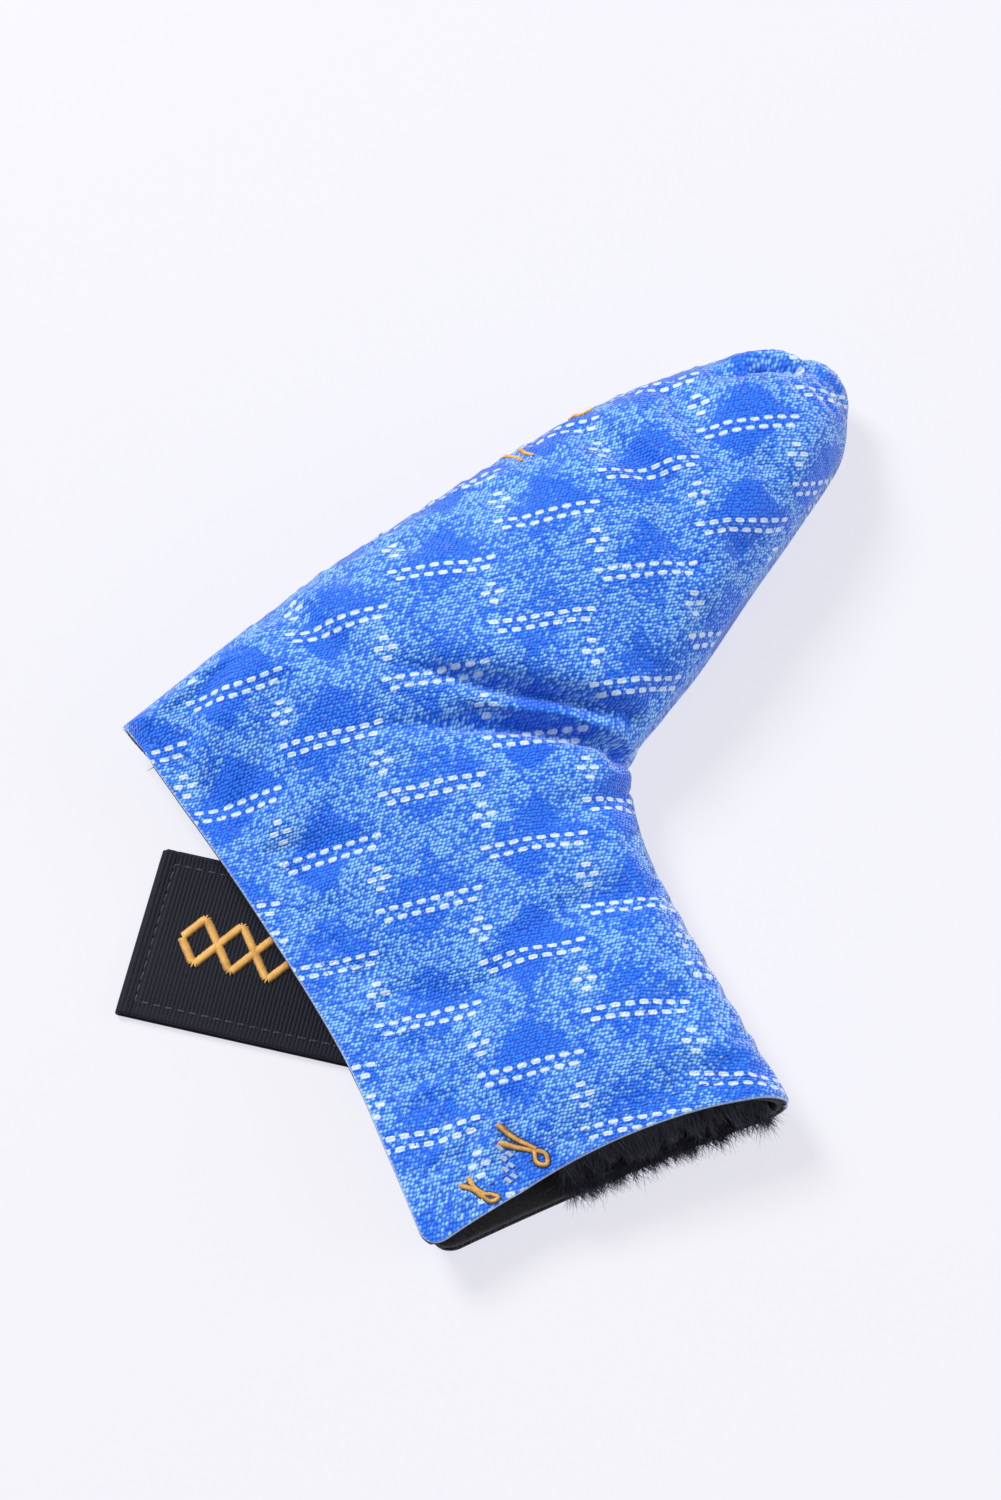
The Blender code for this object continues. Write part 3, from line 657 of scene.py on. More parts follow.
class Surface:
    """A node material, built up from fields."""

    def __init__(self, name, roughness=0.6, sheen=0.0, specular=0.5, **others):
        self.material = bpy.data.materials.new(name)
        self.material.use_nodes = True
        self.tree = self.material.node_tree
        self.set(Roughness=roughness, Sheen_Weight=sheen, Specular_IOR_Level=specular, **others)

    def set(self, **inputs):
        """Feeds the shader's inputs, each named with _ for a space."""
        for name, value in inputs.items():
            feed(self.tree, self.tree.nodes["Principled BSDF"].inputs[name.replace("_", " ")], value)

    def node(self, kind, inputs=None, **settings):
        made = self.tree.nodes.new(kind)
        for key, value in settings.items():
            setattr(made, key, value)
        for key, value in (inputs or {}).items():
            feed(self.tree, made.inputs[key], value)
        return made

    def field(self, socket):
        return Field(self.tree, socket)

    def place(self, scale=1 / MM):
        """The surface's own coordinates, in millimetres."""
        coordinates = self.node("ShaderNodeTexCoord").outputs["Object"]
        inputs = {0: coordinates, "Scale": scale}
        return self.node("ShaderNodeVectorMath", inputs, operation="SCALE").outputs[0]

    def uv(self, name):
        parts = self.node("ShaderNodeSeparateXYZ", {0: self.node("ShaderNodeUVMap", uv_map=name).outputs[0]})
        return self.field(parts.outputs["X"]), self.field(parts.outputs["Y"])

    def attribute(self, name):
        return self.field(self.node("ShaderNodeAttribute", attribute_name=name).outputs["Fac"])

    def vector(self, x, y):
        return self.node("ShaderNodeCombineXYZ", {"X": x, "Y": y}).outputs[0]

    def noise(self, vector, scale, detail=2.0, roughness=0.5):
        inputs = {"Vector": vector, "Scale": scale, "Detail": detail, "Roughness": roughness}
        return self.field(self.node("ShaderNodeTexNoise", inputs).outputs[0])

    def cells(self, vector, scale, randomness):
        """Voronoi cells in 2D: the distance to each cell's middle and two random numbers of its own."""
        inputs = {"Vector": vector, "Scale": scale, "Randomness": randomness}
        made = self.node("ShaderNodeTexVoronoi", inputs, voronoi_dimensions="2D")
        colour = self.node("ShaderNodeSeparateColor", {0: made.outputs["Color"]})
        return [self.field(socket) for socket in (made.outputs["Distance"], *colour.outputs[:2])]

    def mix(self, factor, first, second):
        """A colour between two, each a colour or a socket."""
        return self.node("ShaderNodeMix", {0: factor, 6: first, 7: second}, data_type="RGBA").outputs[2]

    def bump(self, field, height_mm, strength=1.0):
        inputs = {"Height": field, "Strength": strength, "Distance": height_mm * MM}
        self.set(Normal=self.node("ShaderNodeBump", inputs).outputs[0])


# The canvas's print, in millimetres of flat cloth.
PRINT_TILT = math.radians(-25)
PRINT_ORIGIN = (71.6, -17.6)
LATTICE_ACROSS = (23.9, -7.95)
LATTICE_DOWN = (-5.1, 23.35)
DASH_PITCH, ROW_PITCH = 2.97, 2.14
DASH_LENGTH, DASH_WIDTH = 2.0, 1.0
PRINT_WOBBLE = 1.2
BAR_DASHES = 8

WEAVE_COUNT = 1.2  # yarn crossings to the millimetre

DEEP_BLUE = (0.0005, 0.052, 0.60)
MID_BLUE = (0.010, 0.235, 0.95)
PALE_BLUE = (0.34, 0.73, 0.99)
DASH_WHITE, DASH_PALE = (0.74, 0.85, 0.97), (0.55, 0.73, 0.95)
HEM_PALE = (0.42, 0.60, 0.93)
BOUND_BLACK = (0.006, 0.0065, 0.010)
FLOOR_GLOW = (0.692, 0.686, 0.742)


def dash_rows(u, v, half_count, odd):
    """Dashes in rows: half_count is half the dashes of a row, and odd rows are centred on a dash."""
    inside = abs(u / DASH_PITCH).below(half_count)
    x = ((u / DASH_PITCH + odd * 0.5).fract() - 0.5) * (DASH_PITCH * 2 / DASH_LENGTH)
    y = ((v / ROW_PITCH).fract() - 0.5) * (ROW_PITCH * 2 / DASH_WIDTH)
    return inside * (1 - (abs(x).math("POWER", 4) + abs(y).math("POWER", 3)).ramp(0.6, 1.35))


def print_bar(u, v):
    """Two long rows of dashes, laid like bricks."""
    lower = 1 - v.below(0)
    return dash_rows(u, v, abs(v).below(ROW_PITCH) * (BAR_DASHES / 2 - lower * 0.5), lower)


def print_diamond(u, v):
    """A small diamond of dashes, 1, 2 and 1 to a row."""
    away = abs((v / ROW_PITCH + 0.5).math("FLOOR"))
    return dash_rows(u, v + ROW_PITCH / 2, (2 - away).at_least(0) / 2, 1 - away.below(0.5))


def print_shade(u, v):
    """1 in the deep blue triangles above and below a bar, 0 on the pale ground."""
    above = 1 - (abs(u - 1.5) * 0.66 - v * 0.72).ramp(6.2, 9.8)
    under = 1 - (abs(u + 2.5) * 0.8 + v * 0.9).ramp(5.2, 8.6)
    return (above * (v * -1).ramp(-1.2, 1.2)).at_least(under * v.ramp(-1.2, 1.2))


def canvas_material():
    """Coated canvas: a fine weave printed in blues, with rows of white dashes."""
    tint = (0.84, 0.9, 1)
    surface = Surface("coated_canvas", sheen=0.95, specular=0.3, Sheen_Roughness=0.36, Sheen_Tint=tint)
    x, y = surface.uv("flat")
    cosine, sine = math.cos(PRINT_TILT), math.sin(PRINT_TILT)
    x, y = x - PRINT_ORIGIN[0], y - PRINT_ORIGIN[1]
    u = x * cosine + y * sine
    v = x * sine - y * cosine
    v = v + (surface.noise(surface.vector(u, v), 0.09, 1.0) - 0.5) * PRINT_WOBBLE
    flat = surface.vector(u, v)
    (across_u, across_v), (down_u, down_v) = LATTICE_ACROSS, LATTICE_DOWN
    cell = across_u * down_v - across_v * down_u
    a = ((u * down_v - v * down_u) / cell).fract()
    b = ((v * across_u - u * across_v) / cell).fract()

    def from_node(i, j):
        """The way here from a node of the print's lattice."""
        return (a - i) * across_u + (b - j) * down_u, (a - i) * across_v + (b - j) * down_v

    nodes = [from_node(i, j) for i in (0, 1) for j in (0, 1)]
    marks = [print_bar(*node) for node in nodes] + [print_diamond(*from_node(0.5, 0.5))]
    dashes = functools.reduce(Field.at_least, marks)
    shade = functools.reduce(Field.at_least, [print_shade(*node) for node in nodes])
    middle, random, other = surface.cells(surface.vector(u + v * 0.5, v * 1.2), WEAVE_COUNT, 0.5)
    blotch = surface.noise(flat, 0.14) - 0.5
    broad = surface.noise(flat, 0.018, 1.0).ramp(0.35, 0.65)
    density = 0.62 - shade * (0.32 + broad * 0.55) + blotch * 0.8
    dot = 1 - middle.ramp(0.1, 0.62)
    speck = (density - random).ramp(-0.32, 0.42) * (0.12 + 0.88 * dot)
    ground = surface.mix(dot * 0.8 + other * 0.15, DEEP_BLUE, MID_BLUE)
    ground = surface.mix(speck * 0.9, ground, PALE_BLUE)
    white = surface.mix(other * 0.8, DASH_WHITE, DASH_PALE)
    ground = surface.mix(dashes * (0.8 + 0.2 * dot), ground, white)
    ground = surface.mix(surface.attribute("hem"), ground, HEM_PALE)
    grain = surface.noise(flat, 3.2)
    surface.set(
        Base_Color=surface.mix(surface.attribute("bound"), ground, BOUND_BLACK),
        Roughness=0.40 + random * 0.14 + grain * 0.1,
    )
    surface.bump(dot * 0.8 + grain * 0.3 + dashes * 0.3, 0.2, 0.9)
    return surface.material


def backing_material():
    """The black knit that carries the pile."""
    surface = Surface("fur_backing", roughness=0.92, sheen=0.25)
    tufts = surface.noise(surface.place(), 1.9, 5.0, 0.7)
    surface.set(Base_Color=surface.mix(tufts.ramp(0.35, 0.7), (0.002, 0.0022, 0.004), (0.02, 0.022, 0.034)))
    surface.bump(tufts, 1.2)
    return surface.material


def pile_material():
    """Black pile fibres, lighter towards their tips as a painted highlight, and uneven from clump to clump.
    """
    surface = Surface("pile", sheen=0.3, specular=0.35)
    clumps = surface.noise(surface.place(), 0.35, 3.0)
    # Half of the tone varies at random by clump; the other half is a painted highlight that lightens each
    # fibre towards its tip.
    shade = clumps.ramp(0.3, 0.7) * 0.5 + surface.attribute("tip") * 0.5
    surface.set(
        Base_Color=surface.mix(shade, (0.003, 0.0035, 0.007), (0.03, 0.035, 0.065)),
        Roughness=0.5 + clumps * 0.3,
    )
    return surface.material


def thread_material(name, dark, light, sheen=0.25, roughness=0.45):
    """Twisted thread: fine stripes and a little variation along its length."""
    surface = Surface(name, sheen=sheen)
    place = surface.place()
    stripes = surface.node("ShaderNodeTexWave", {"Vector": place, "Scale": 1.6, "Distortion": 1.5})
    stripes = surface.field(stripes.outputs["Fac"])
    drift = surface.noise(place, 0.7, 3.0)
    surface.set(
        Base_Color=surface.mix(stripes * 0.45 + drift * 0.6, dark, light),
        Roughness=roughness - 0.08 + drift * 0.2,
    )
    surface.bump(stripes + drift * 0.4, 0.08)
    return surface.material


def tape_material(name, dark, light, scale, bump):
    """Hook or loop tape: a dense field of tiny hooks or brushed loops on a black ground."""
    surface = Surface(name, sheen=0.3)
    fuzz = surface.noise(surface.place(), scale, 5.0, 0.75)
    surface.set(Base_Color=surface.mix(fuzz.ramp(0.35, 0.7), dark, light), Roughness=0.65 + fuzz * 0.3)
    surface.bump(fuzz, bump)
    return surface.material


def gold_material():
    """Rayon embroidery thread: golden, with a satin sheen and darker in random patches, a painted shade that
    stands for its depths.
    """
    surface = Surface("gold_thread", sheen=0.35, specular=0.55)
    place = surface.place()
    fibre = surface.noise(place, 6.0)
    # Random darker patches of gold: painted shade standing for the depths between the threads.
    shade = surface.noise(place, 0.5, 3.0) * 0.7 + fibre * 0.4
    surface.set(
        Base_Color=surface.mix(shade.ramp(0.25, 0.85), (0.60, 0.27, 0.035), (0.95, 0.56, 0.14)),
        Roughness=0.3 + fibre * 0.25,
    )
    surface.bump(fibre, 0.05)
    return surface.material


def webbing_material():
    """Black grosgrain: fine ribs crossed by the warp, with a faint blue-grey painted highlight on their
    crowns.
    """
    surface = Surface("webbing", sheen=0.17, specular=0.22, Sheen_Tint=(0.75, 0.8, 1))
    run, across = surface.uv("weave")
    crown = (run * (2 * math.pi / RIB_SPACING)).math("COSINE")
    warp = (across * (2 * math.pi / WARP_SPACING)).math("SINE")
    drift = surface.noise(surface.vector(run, across), 0.8, 3.0)
    # The colour lightens on the rib crowns as a painted highlight, over the warp's stripes and a random
    # drift.
    shade = crown * 0.22 + warp * 0.12 + drift * 0.5 + 0.1
    surface.set(
        Base_Color=surface.mix(shade, (0.0014, 0.0018, 0.005), (0.009, 0.0105, 0.027)),
        Roughness=0.5 + drift * 0.25,
    )
    surface.bump(warp * crown.ramp(-1, 1) + drift * 0.5, 0.1)
    return surface.material


def floor_material():
    """A paper sweep, partly lit from below so that shadows on it stay pale."""
    surface = Surface("paper_floor", roughness=0.75, specular=0.2)
    surface.set(Emission_Color=FLOOR_GLOW, Emission_Strength=1)
    grain = surface.noise(surface.place(1.0), 3.0).ramp(0.3, 0.7)
    surface.set(Base_Color=surface.mix(grain, (0.166, 0.166, 0.166), (0.174, 0.174, 0.174)))
    return surface.material


# ---------------------------------------------------------------- pieces

STITCH_LENGTH, STITCH_PITCH, STITCH_RADIUS = 2.3, 3.1, 0.15
SATIN_SLANT = 0.25
HEEL_HEM, NECK_HEM = 6.0, 5.0  # how far the hems' stitches lie from the heel edge and the mouth
HINGE_FROM_HEEL = 44  # where the neck's hem crosses the flap's bend
SEAM_GAP = 6  # columns between a neck hem's stitches and the edge seam


def build_canvas(cover):
    index, depths, material = cover.index, (0, CANVAS_THICK), canvas_material()
    name = "coated_canvas_cover"
    piece, used = shell(name, cover.points, cover.plain_normals, index, depths, cover.from_edge, material)
    add_flat_map(piece, used, cover)
    places = used % index.size
    edge, back = cover.from_edge.ravel()[places], cover.is_back.ravel()[places]
    inside = used >= index.size
    add_attribute(piece, "hem", np.where(inside, 0, 0.8 * (1 - smooth((edge - 0.05) / 0.35))))
    add_attribute(piece, "bound", (inside & (edge < BOUND_WIDTH)) | (back & (edge < BACK_RIM)))
    nodes = ["outer_canvas", "flap_canvas", "foam_padding", "flap_padding"]
    placed(piece, "bend", nodes, back)


def build_backing(cover):
    """The lining's cloth, under the canvas and short of the open edges."""
    rows = np.flatnonzero(cover.from_mouth[: len(ROWS) - 6, 0] >= BACKING_FROM_MOUTH)
    columns = np.arange(1, cover.shape[1] - 1)
    pick = np.ix_(rows, columns)
    rim = np.minimum(
        np.abs(cover.from_heel[pick] - cover.from_heel[rows, 1][:, None]),
        cover.from_mouth[pick] - cover.from_mouth[rows[0], 0],
    )
    rim[:, -1] = 0
    rim[-1, :] = 0
    index = np.arange(rim.size).reshape(rim.shape)
    points, normals, name = cover.points[pick], cover.plain_normals[pick], "fur_lining_backing"
    piece, used = shell(name, points, normals, index, BACKING, rim, backing_material())
    still = np.broadcast_to(IS_BACK[columns], rim.shape).ravel()
    placed(piece, "bend", ["fur_lining", "flap_lining"], still[used % still.size])


def build_seam_allowance(cover):
    """The overlocked edge of the seam, a narrow tape standing inside the cover."""
    rows = np.arange(4, len(ROWS) - 12, 2)
    points, normals = cover.sample(rows, SEAM_COLUMN)
    shares = np.linspace(0, 1, 6)[None, :, None]
    depths = BACKING[1] + 0.2 + 3.8 * shares
    wave = 0.25 * np.sin(rows * 0.9)[:, None, None]
    middle = points[:, None] - normals[:, None] * depths + UP * wave * shares
    index = np.arange(middle.size // 3).reshape(middle.shape[:2])
    flat_normals = normals_of(middle.reshape(-1, 3), quads(index)).reshape(middle.shape)
    rim = np.pad(np.full(np.subtract(index.shape, 2), 9.0), 1)
    material = tape_material("seam_tape", (0.006, 0.006, 0.008), (0.04, 0.04, 0.045), 1.4, 0.3)
    piece, _ = shell("seam_overlock", middle, flat_normals, index, (-0.45, 0.45), rim, material)
    placed(piece, "cover", ["seam_allowance"])


def tubes(paths, radii, sides):
    """Closed tubes along several paths at once, as (points, faces)."""
    many, steps = paths.shape[:2]
    radii = np.broadcast_to(radii, (many, steps))
    tangent = unit(np.gradient(paths, axis=1))
    up = np.zeros_like(tangent) + UP
    steep = np.abs(tangent[:, :1, 2]) > 0.85
    up[np.broadcast_to(steep, up.shape[:2])] = (1, 0, 0)
    beside = unit(np.cross(tangent, up))
    above = np.cross(beside, tangent)
    turn = (np.arange(sides) * (2 * math.pi / sides))[:, None]
    ring = np.cos(turn) * beside[:, :, None, :] + np.sin(turn) * above[:, :, None, :]
    points = paths[:, :, None, :] + ring * radii[:, :, None, None]
    index = np.arange(many * steps * sides).reshape(many, steps, sides)
    wrapped = np.concatenate([index, index[:, :, :1]], axis=2)
    corners = (wrapped[:, :-1, :-1], wrapped[:, 1:, :-1], wrapped[:, 1:, 1:], wrapped[:, :-1, 1:])
    walls = np.stack(corners, axis=-1).reshape(-1, 4)
    return points.reshape(-1, 3), [*walls.tolist(), *index[:, 0].tolist(), *index[:, -1, ::-1].tolist()]


def stitch_row(points, normals, radius=STITCH_RADIUS, pitch=STITCH_PITCH, length=STITCH_LENGTH):
    """A row of separate stitches along a line that lies on a surface."""
    run = run_along(points)
    starts = np.arange(pitch / 2, run[-1] - length, pitch)
    places = starts[:, None] + np.linspace(0, 1, 6) * length
    heights = radius * np.array([-0.9, 0.35, 0.6, 0.6, 0.35, -0.9])
    paths = at((points, run), places) + at((normals, run), places) * heights[:, None]
    return tubes(paths, radius * np.array([0.6, 0.95, 1, 1, 0.95, 0.6]), 7)


def satin(line, normals, width, random, spacing=0.36, radius=0.24, height=0.5):
    """Satin stitch: threads laid side by side across a line, arched over it."""
    run = run_along(line)
    places = np.arange(0, run[-1], spacing)
    middle, up = at((line, run), places), unit(at((normals, run), places))
    tangent = unit(np.gradient(middle, axis=0))
    across = unit(np.cross(up, tangent) + tangent * SATIN_SLANT)
    widths = np.interp(places, run, np.broadcast_to(width, len(line)))
    widths = widths * (1 + random.normal(0, 0.035, len(places)))
    shares = np.linspace(-1, 1, 7)
    arch = (1 - shares**4) * height - 0.12
    paths = middle[:, None] + across[:, None] * (shares[None, :, None] * widths[:, None, None] / 2)
    paths = paths + up[:, None] * (arch[None, :, None] * (1 + random.normal(0, 0.06, (len(places), 1, 1))))
    return tubes(paths, radius * np.array([0.55, 0.9, 1, 1, 1, 0.9, 0.55]), 6)


def joined(parts):
    """Several (points, faces) as one."""
    points, faces, count = [], [], 0
    for part_points, part_faces in parts:
        points.append(part_points)
        faces += [[corner + count for corner in face] for face in part_faces]
        count += len(part_points)
    return np.concatenate(points), faces


def placed(piece, body, nodes=(), still=None):
    """Hides the piece's CAD nodes, and puts it on its body, or on the flap's bend."""
    if nodes:
        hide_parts(*nodes)
    if body == "bend":
        on_flap(piece, still)
    else:
        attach(piece, body)
    return piece


def fibres(name, parts, material, slot, body, *nodes):
    """A piece of threads or fibres, from its (points, faces) parts."""
    return placed(mesh_object(name, *joined(parts), material), body, nodes)


def heel_line(cover, back):
    """The hem's line on the front or back, beside the heel edge."""
    from_mouth = cover.from_mouth[: len(ROWS), 0]
    rows = np.flatnonzero((from_mouth >= 3) & (from_mouth <= OPEN_TO * RIB_PITCH - 4))
    return cover.sample(rows, [cover.column_at(row, HEEL_HEM, back) for row in rows])


def build_edge_stitches(cover):
    """The hems' and the edge seam's stitches, in thread close to the canvas's own blue."""
    material = thread_material("blue_thread", (0.01, 0.1, 0.66), (0.1, 0.32, 0.93))
    row = cover.row_at(NECK_HEM)
    hinge = int(cover.column_at(int(row), HINGE_FROM_HEEL))
    lines = {
        "flap_heel_stitch": heel_line(cover, False),
        "back_heel_stitch": heel_line(cover, True),
        "flap_neck_stitch": cover.sample(row, np.arange(OUTER_TURN, hinge)),
        "front_neck_stitch": cover.sample(row, np.arange(hinge, SEAM_COLUMN - SEAM_GAP)),
        "back_neck_stitch": cover.sample(row, np.arange(SEAM_COLUMN + SEAM_GAP, COLUMN_COUNT - OUTER_TURN)),
    }
    for node, line in lines.items():
        body = "cover" if node.startswith("back") else "bend"
        fibres(node + "es", [stitch_row(*line)], material, "blue_thread", body, node)
    seam = stitch_row(*cover.sample(np.arange(3, len(ROWS) - 2), SEAM_COLUMN), 0.18, 2.8, 2.2)
    fibres("edge_seam_stitches", [seam], material, "blue_thread", "cover", "seam_thread")


# Hook and loop strips, along the heel edge by the mouth.
STRIP_LENGTH, STRIP_WIDTH, STRIP_THICK = 42.0, 24.5, 1.25
STRIP_CENTRE = np.array([5.2, -107.5])
STRIP_ALONG = np.array([7.5, 42]) / math.hypot(7.5, 42)
STRIP_ACROSS = np.array([-STRIP_ALONG[1], STRIP_ALONG[0]])
HOOK_HEIGHT, HOOK_LEAN = 0.32, np.array([[0.55, 0.1]])


def strip_plan(x, y):
    """Plan points from the strips' middle: x along them and y across."""
    return STRIP_CENTRE + x[..., None] * STRIP_ALONG + y[..., None] * STRIP_ACROSS


def strip_grid(margin, counts):
    """A grid of plan points over the strips inside a margin, and each one's distance to its rim."""
    length, width = STRIP_LENGTH / 2 - margin, STRIP_WIDTH / 2 - margin
    sides = (np.linspace(-half, half, count) for half, count in zip((length, width), counts))
    x, y = np.meshgrid(*sides, indexing="ij")
    return strip_plan(x, y), np.minimum(length - np.abs(x), width - np.abs(y))


def build_strip(cover, kind, body, *material):
    """A tape on the inside of the flap or of the back, with a border of stitches."""
    below, name = body == "cover", kind + "_strip_tape"
    plan, rim = strip_grid(0, (43, 27))
    if not below:
        plan, rim = plan[:, ::-1], rim[:, ::-1]
    index = np.arange(rim.size).reshape(rim.shape)
    depths = (BACKING[1] + 0.05, BACKING[1] + 0.05 + STRIP_THICK)
    tape = tape_material(kind + "_tape", *material)
    piece, _ = shell(name, *cover.drop(plan, below), index, depths, rim, tape)
    placed(piece, body, [kind + "_strip"])
    x, y = STRIP_LENGTH / 2 - 2.2, STRIP_WIDTH / 2 - 2.2
    border = evenly(straight([(-x, -y), (x, -y), (x, y), (-x, y), (-x, -y)]), 160)
    points, normals = cover.drop(strip_plan(*border.T), below)
    row = stitch_row(points - normals * (depths[1] + 0.02), -normals, 0.26)
    thread = thread_material(name + "_thread", (0.003, 0.003, 0.004), (0.03, 0.03, 0.035))
    fibres(name + "_stitches", [row], thread, "black_thread", body, kind + "_strip_stitch")


def build_hooks(cover, random, kind, body, counts, scatter, slide, radius):
    """A strip's own hooks or loops, as short bent fibres standing on the tape."""
    below = body == "cover"
    plan = strip_grid(3, counts)[0].reshape(-1, 2)
    plan = plan + random.normal(0, scatter, plan.shape)
    points, normals = cover.drop(plan, below)
    lean = random.normal(0, 1, plan.shape)
    if not below:
        lean = HOOK_LEAN * np.where(random.random((len(plan), 1)) < 0.5, 1, -1)
    lean = np.pad(unit(lean), ((0, 0), (0, 1)))
    shares = np.linspace(0, 1, 6)[None, :, None]
    depth = BACKING[1] + STRIP_THICK + HOOK_HEIGHT * np.sin(shares * math.pi * 0.82)
    paths = points[:, None] - normals[:, None] * depth + lean[:, None] * shares * slide
    material = tape_material(kind + "s", (0.006, 0.006, 0.008), (0.04, 0.04, 0.048), 2.0, 0.1)
    fibres(kind + "_strip_" + kind + "s", [tubes(paths, radius, 4)], material, kind + "_tape", body)


# ---------------------------------------------------------------- pile

PILE_STEPS = 6
MOUTH_FUR = (17.5, 62.5)  # where along the mouth its fur begins and ends
FACING_TO = -126  # how far down the neck the fur inside goes: past that is the bare facing


def grow_pile(
    cover, random, material, name, rows, columns, count, length, radius, keep,
    droop=0.0, crowd=1.0, loose=0.1, clump=16,
):
    """Pile fibres in clumps, rooted on the backing at random places of a block of the grid.

    droop is how far the tips sink, crowd packs the roots towards the block's first
    row and loose is how far a fibre strays from its clump.
    """
    clumps = count // clump
    clump = random.integers(0, clumps, count)
    row = rows[0] + (rows[1] - rows[0]) * random.random(clumps) ** crowd
    column = columns[0] + (columns[1] - columns[0]) * random.random(clumps)
    middle, _ = cover.sample(row, column)
    row = np.clip(row[clump] + random.normal(0, 0.7, count), *rows)
    column = np.clip(column[clump] + random.normal(0, 0.9, count), *columns)
    veer = random.normal(0, 0.45, clumps)[clump] + random.normal(0, loose, count)
    points, normals = cover.sample(row, column)
    ahead, behind = (cover.sample(near, column)[0] for near in (np.maximum(row - 1.5, 0), row + 1.5))
    toward_mouth = unit(ahead - behind)
    inside = keep(points)
    chosen = (values[inside] for values in (points, normals, toward_mouth, veer, middle[clump], clump))
    points, normals, toward_mouth, veer, middle, clump = chosen
    count = len(points)
    back = columns[0] >= SEAM_COLUMN - 3
    # The front's fibres rise into no more than half of the room above the back.
    room = 30 if back else points[:, 2] - lift(points[:, 0])
    gap = np.clip((room - 2 * BACKING[1]) * 0.5, 0.4, 5)
    sizes = length * (0.7 + 0.5 * random.random(clumps))[clump] * (0.85 + 0.3 * random.random(count))
    rise = np.minimum(sizes * (0.35 + 0.3 * random.random(count)), gap)
    sweep = np.sqrt(np.maximum(sizes**2 - rise**2, 0.1))
    across = unit(np.cross(normals, toward_mouth))
    heading = toward_mouth * np.cos(veer)[:, None] + across * np.sin(veer)[:, None]
    shares = np.linspace(0, 1, PILE_STEPS)[None, :, None]
    roots = points - normals * (BACKING[1] - 0.15)
    gather = (middle - points)[:, None] * 0.75 * shares**1.5
    curl = random.normal(0, 0.45, (count, 1, 1)) * np.sin(shares * math.pi * 1.3)
    paths = roots[:, None] - normals[:, None] * rise[:, None, None] * np.sin(shares * math.pi / 2)
    paths = paths + heading[:, None] * sweep[:, None, None] * shares**1.2 + across[:, None] * curl + gather
    paths[..., 2] -= droop * shares[..., 0] ** 2
    paths[..., 2] = np.maximum(paths[..., 2], 0.15 + 0.25 * random.random((count, 1)))
    taper = np.interp(np.linspace(0, 1, PILE_STEPS), [0, 0.6, 1], [1, 0.75, 0.15])
    radii = radius * taper * (0.7 + 0.6 * random.random((count, 1)))
    piece = fibres(name, [tubes(paths, radii, 3)], material, "faux_fur", "cover" if back else "bend")
    # How far along its fibre each point lies; the pile material reads it for the painted highlight on the
    # tips.
    add_attribute(piece, "tip", np.tile(np.repeat(np.linspace(0, 1, PILE_STEPS), 3), count))


def beside_strips(points):
    """Which points lie off the hook and loop strips."""
    away = points[:, :2] - STRIP_CENTRE
    past_side = np.abs(away @ STRIP_ACROSS) > STRIP_WIDTH / 2 + 0.5
    return past_side | (np.abs(away @ STRIP_ALONG) > STRIP_LENGTH / 2 + 0.5)


def at_mouth(points):
    return (points[:, 0] > MOUTH_FUR[0]) & (points[:, 0] < MOUTH_FUR[1]) & beside_strips(points)


def past_facing(points):
    return beside_strips(points) & (points[:, 1] > FACING_TO)


def build_pile(cover):
    """The faux fur: it crowds out of the mouth and covers the lining under the flap."""
    edge, near, deep = cover.row_at(1.2), cover.row_at(3), cover.row_at(15)
    inner = cover.row_at(HEEL_LENGTH - 3)
    front, back = (OUTER_TURN, SEAM_COLUMN + 1), (SEAM_COLUMN - 1, COLUMN_COUNT - OUTER_TURN)
    grow = functools.partial(grow_pile, cover, np.random.default_rng(7), pile_material())
    grow("mouth_pile_front", (edge, deep), front, 6500, 5.4, 0.1, at_mouth, droop=2.2, crowd=1.6)
    grow("mouth_pile_back", (edge, deep), back, 7500, 4.7, 0.1, at_mouth, droop=0.9, crowd=1.7)
    grow("mouth_pile_wisps", (edge, near), back, 1500, 6.8, 0.055, at_mouth, droop=0.6, loose=0.4)
    for name, columns in (("inner_pile_front", front), ("inner_pile_back", back)):
        grow(name, (near, inner), columns, 7000, 6.0, 0.24, past_facing, loose=0.4, clump=5)


# ---------------------------------------------------------------- pull tab

TAB_WIDTH, TAB_LENGTH = 38.0, 62.0
TAB_FREE_END = np.array([-21.3, -38.2])
TAB_ANGLE = math.radians(131)
ANCHOR_LENGTH = 16.0
PLY_THICK, RIB_SPACING, RIB_DEPTH, WARP_SPACING = 0.85, 0.86, 0.15, 0.42
BOTTOM_PLY = 0.56  # height of the bottom ply's middle
BORDER_MARGIN, SELVEDGE = 3.2, 2.0
BORDER_SIDE, BORDER_END = TAB_WIDTH / 2 - BORDER_MARGIN, TAB_LENGTH - BORDER_MARGIN
TAB_ALONG = np.array([math.cos(TAB_ANGLE), math.sin(TAB_ANGLE)])
TAB_ACROSS = np.array([-TAB_ALONG[1], TAB_ALONG[0]])
TAB_ROOT = TAB_FREE_END - TAB_ALONG * TAB_LENGTH


def tab_point(along, across, height):
    """A point of the tab: along from its root to its free end, across from its middle."""
    along, across, height = np.broadcast_arrays(along, across, height)
    plan = TAB_ROOT + along[..., None] * TAB_ALONG + across[..., None] * TAB_ACROSS
    return np.concatenate([plan, height[..., None]], axis=-1)


def border_distance(along, across):
    """How far a point is from the tab's line of border stitches."""
    x = np.abs(np.abs(across) - BORDER_SIDE)
    y = np.abs(along - BORDER_END)
    inside = (along < BORDER_END) & (np.abs(across) < BORDER_SIDE)
    return np.where(inside, np.minimum(x, y), np.where(along < BORDER_END, x, y))


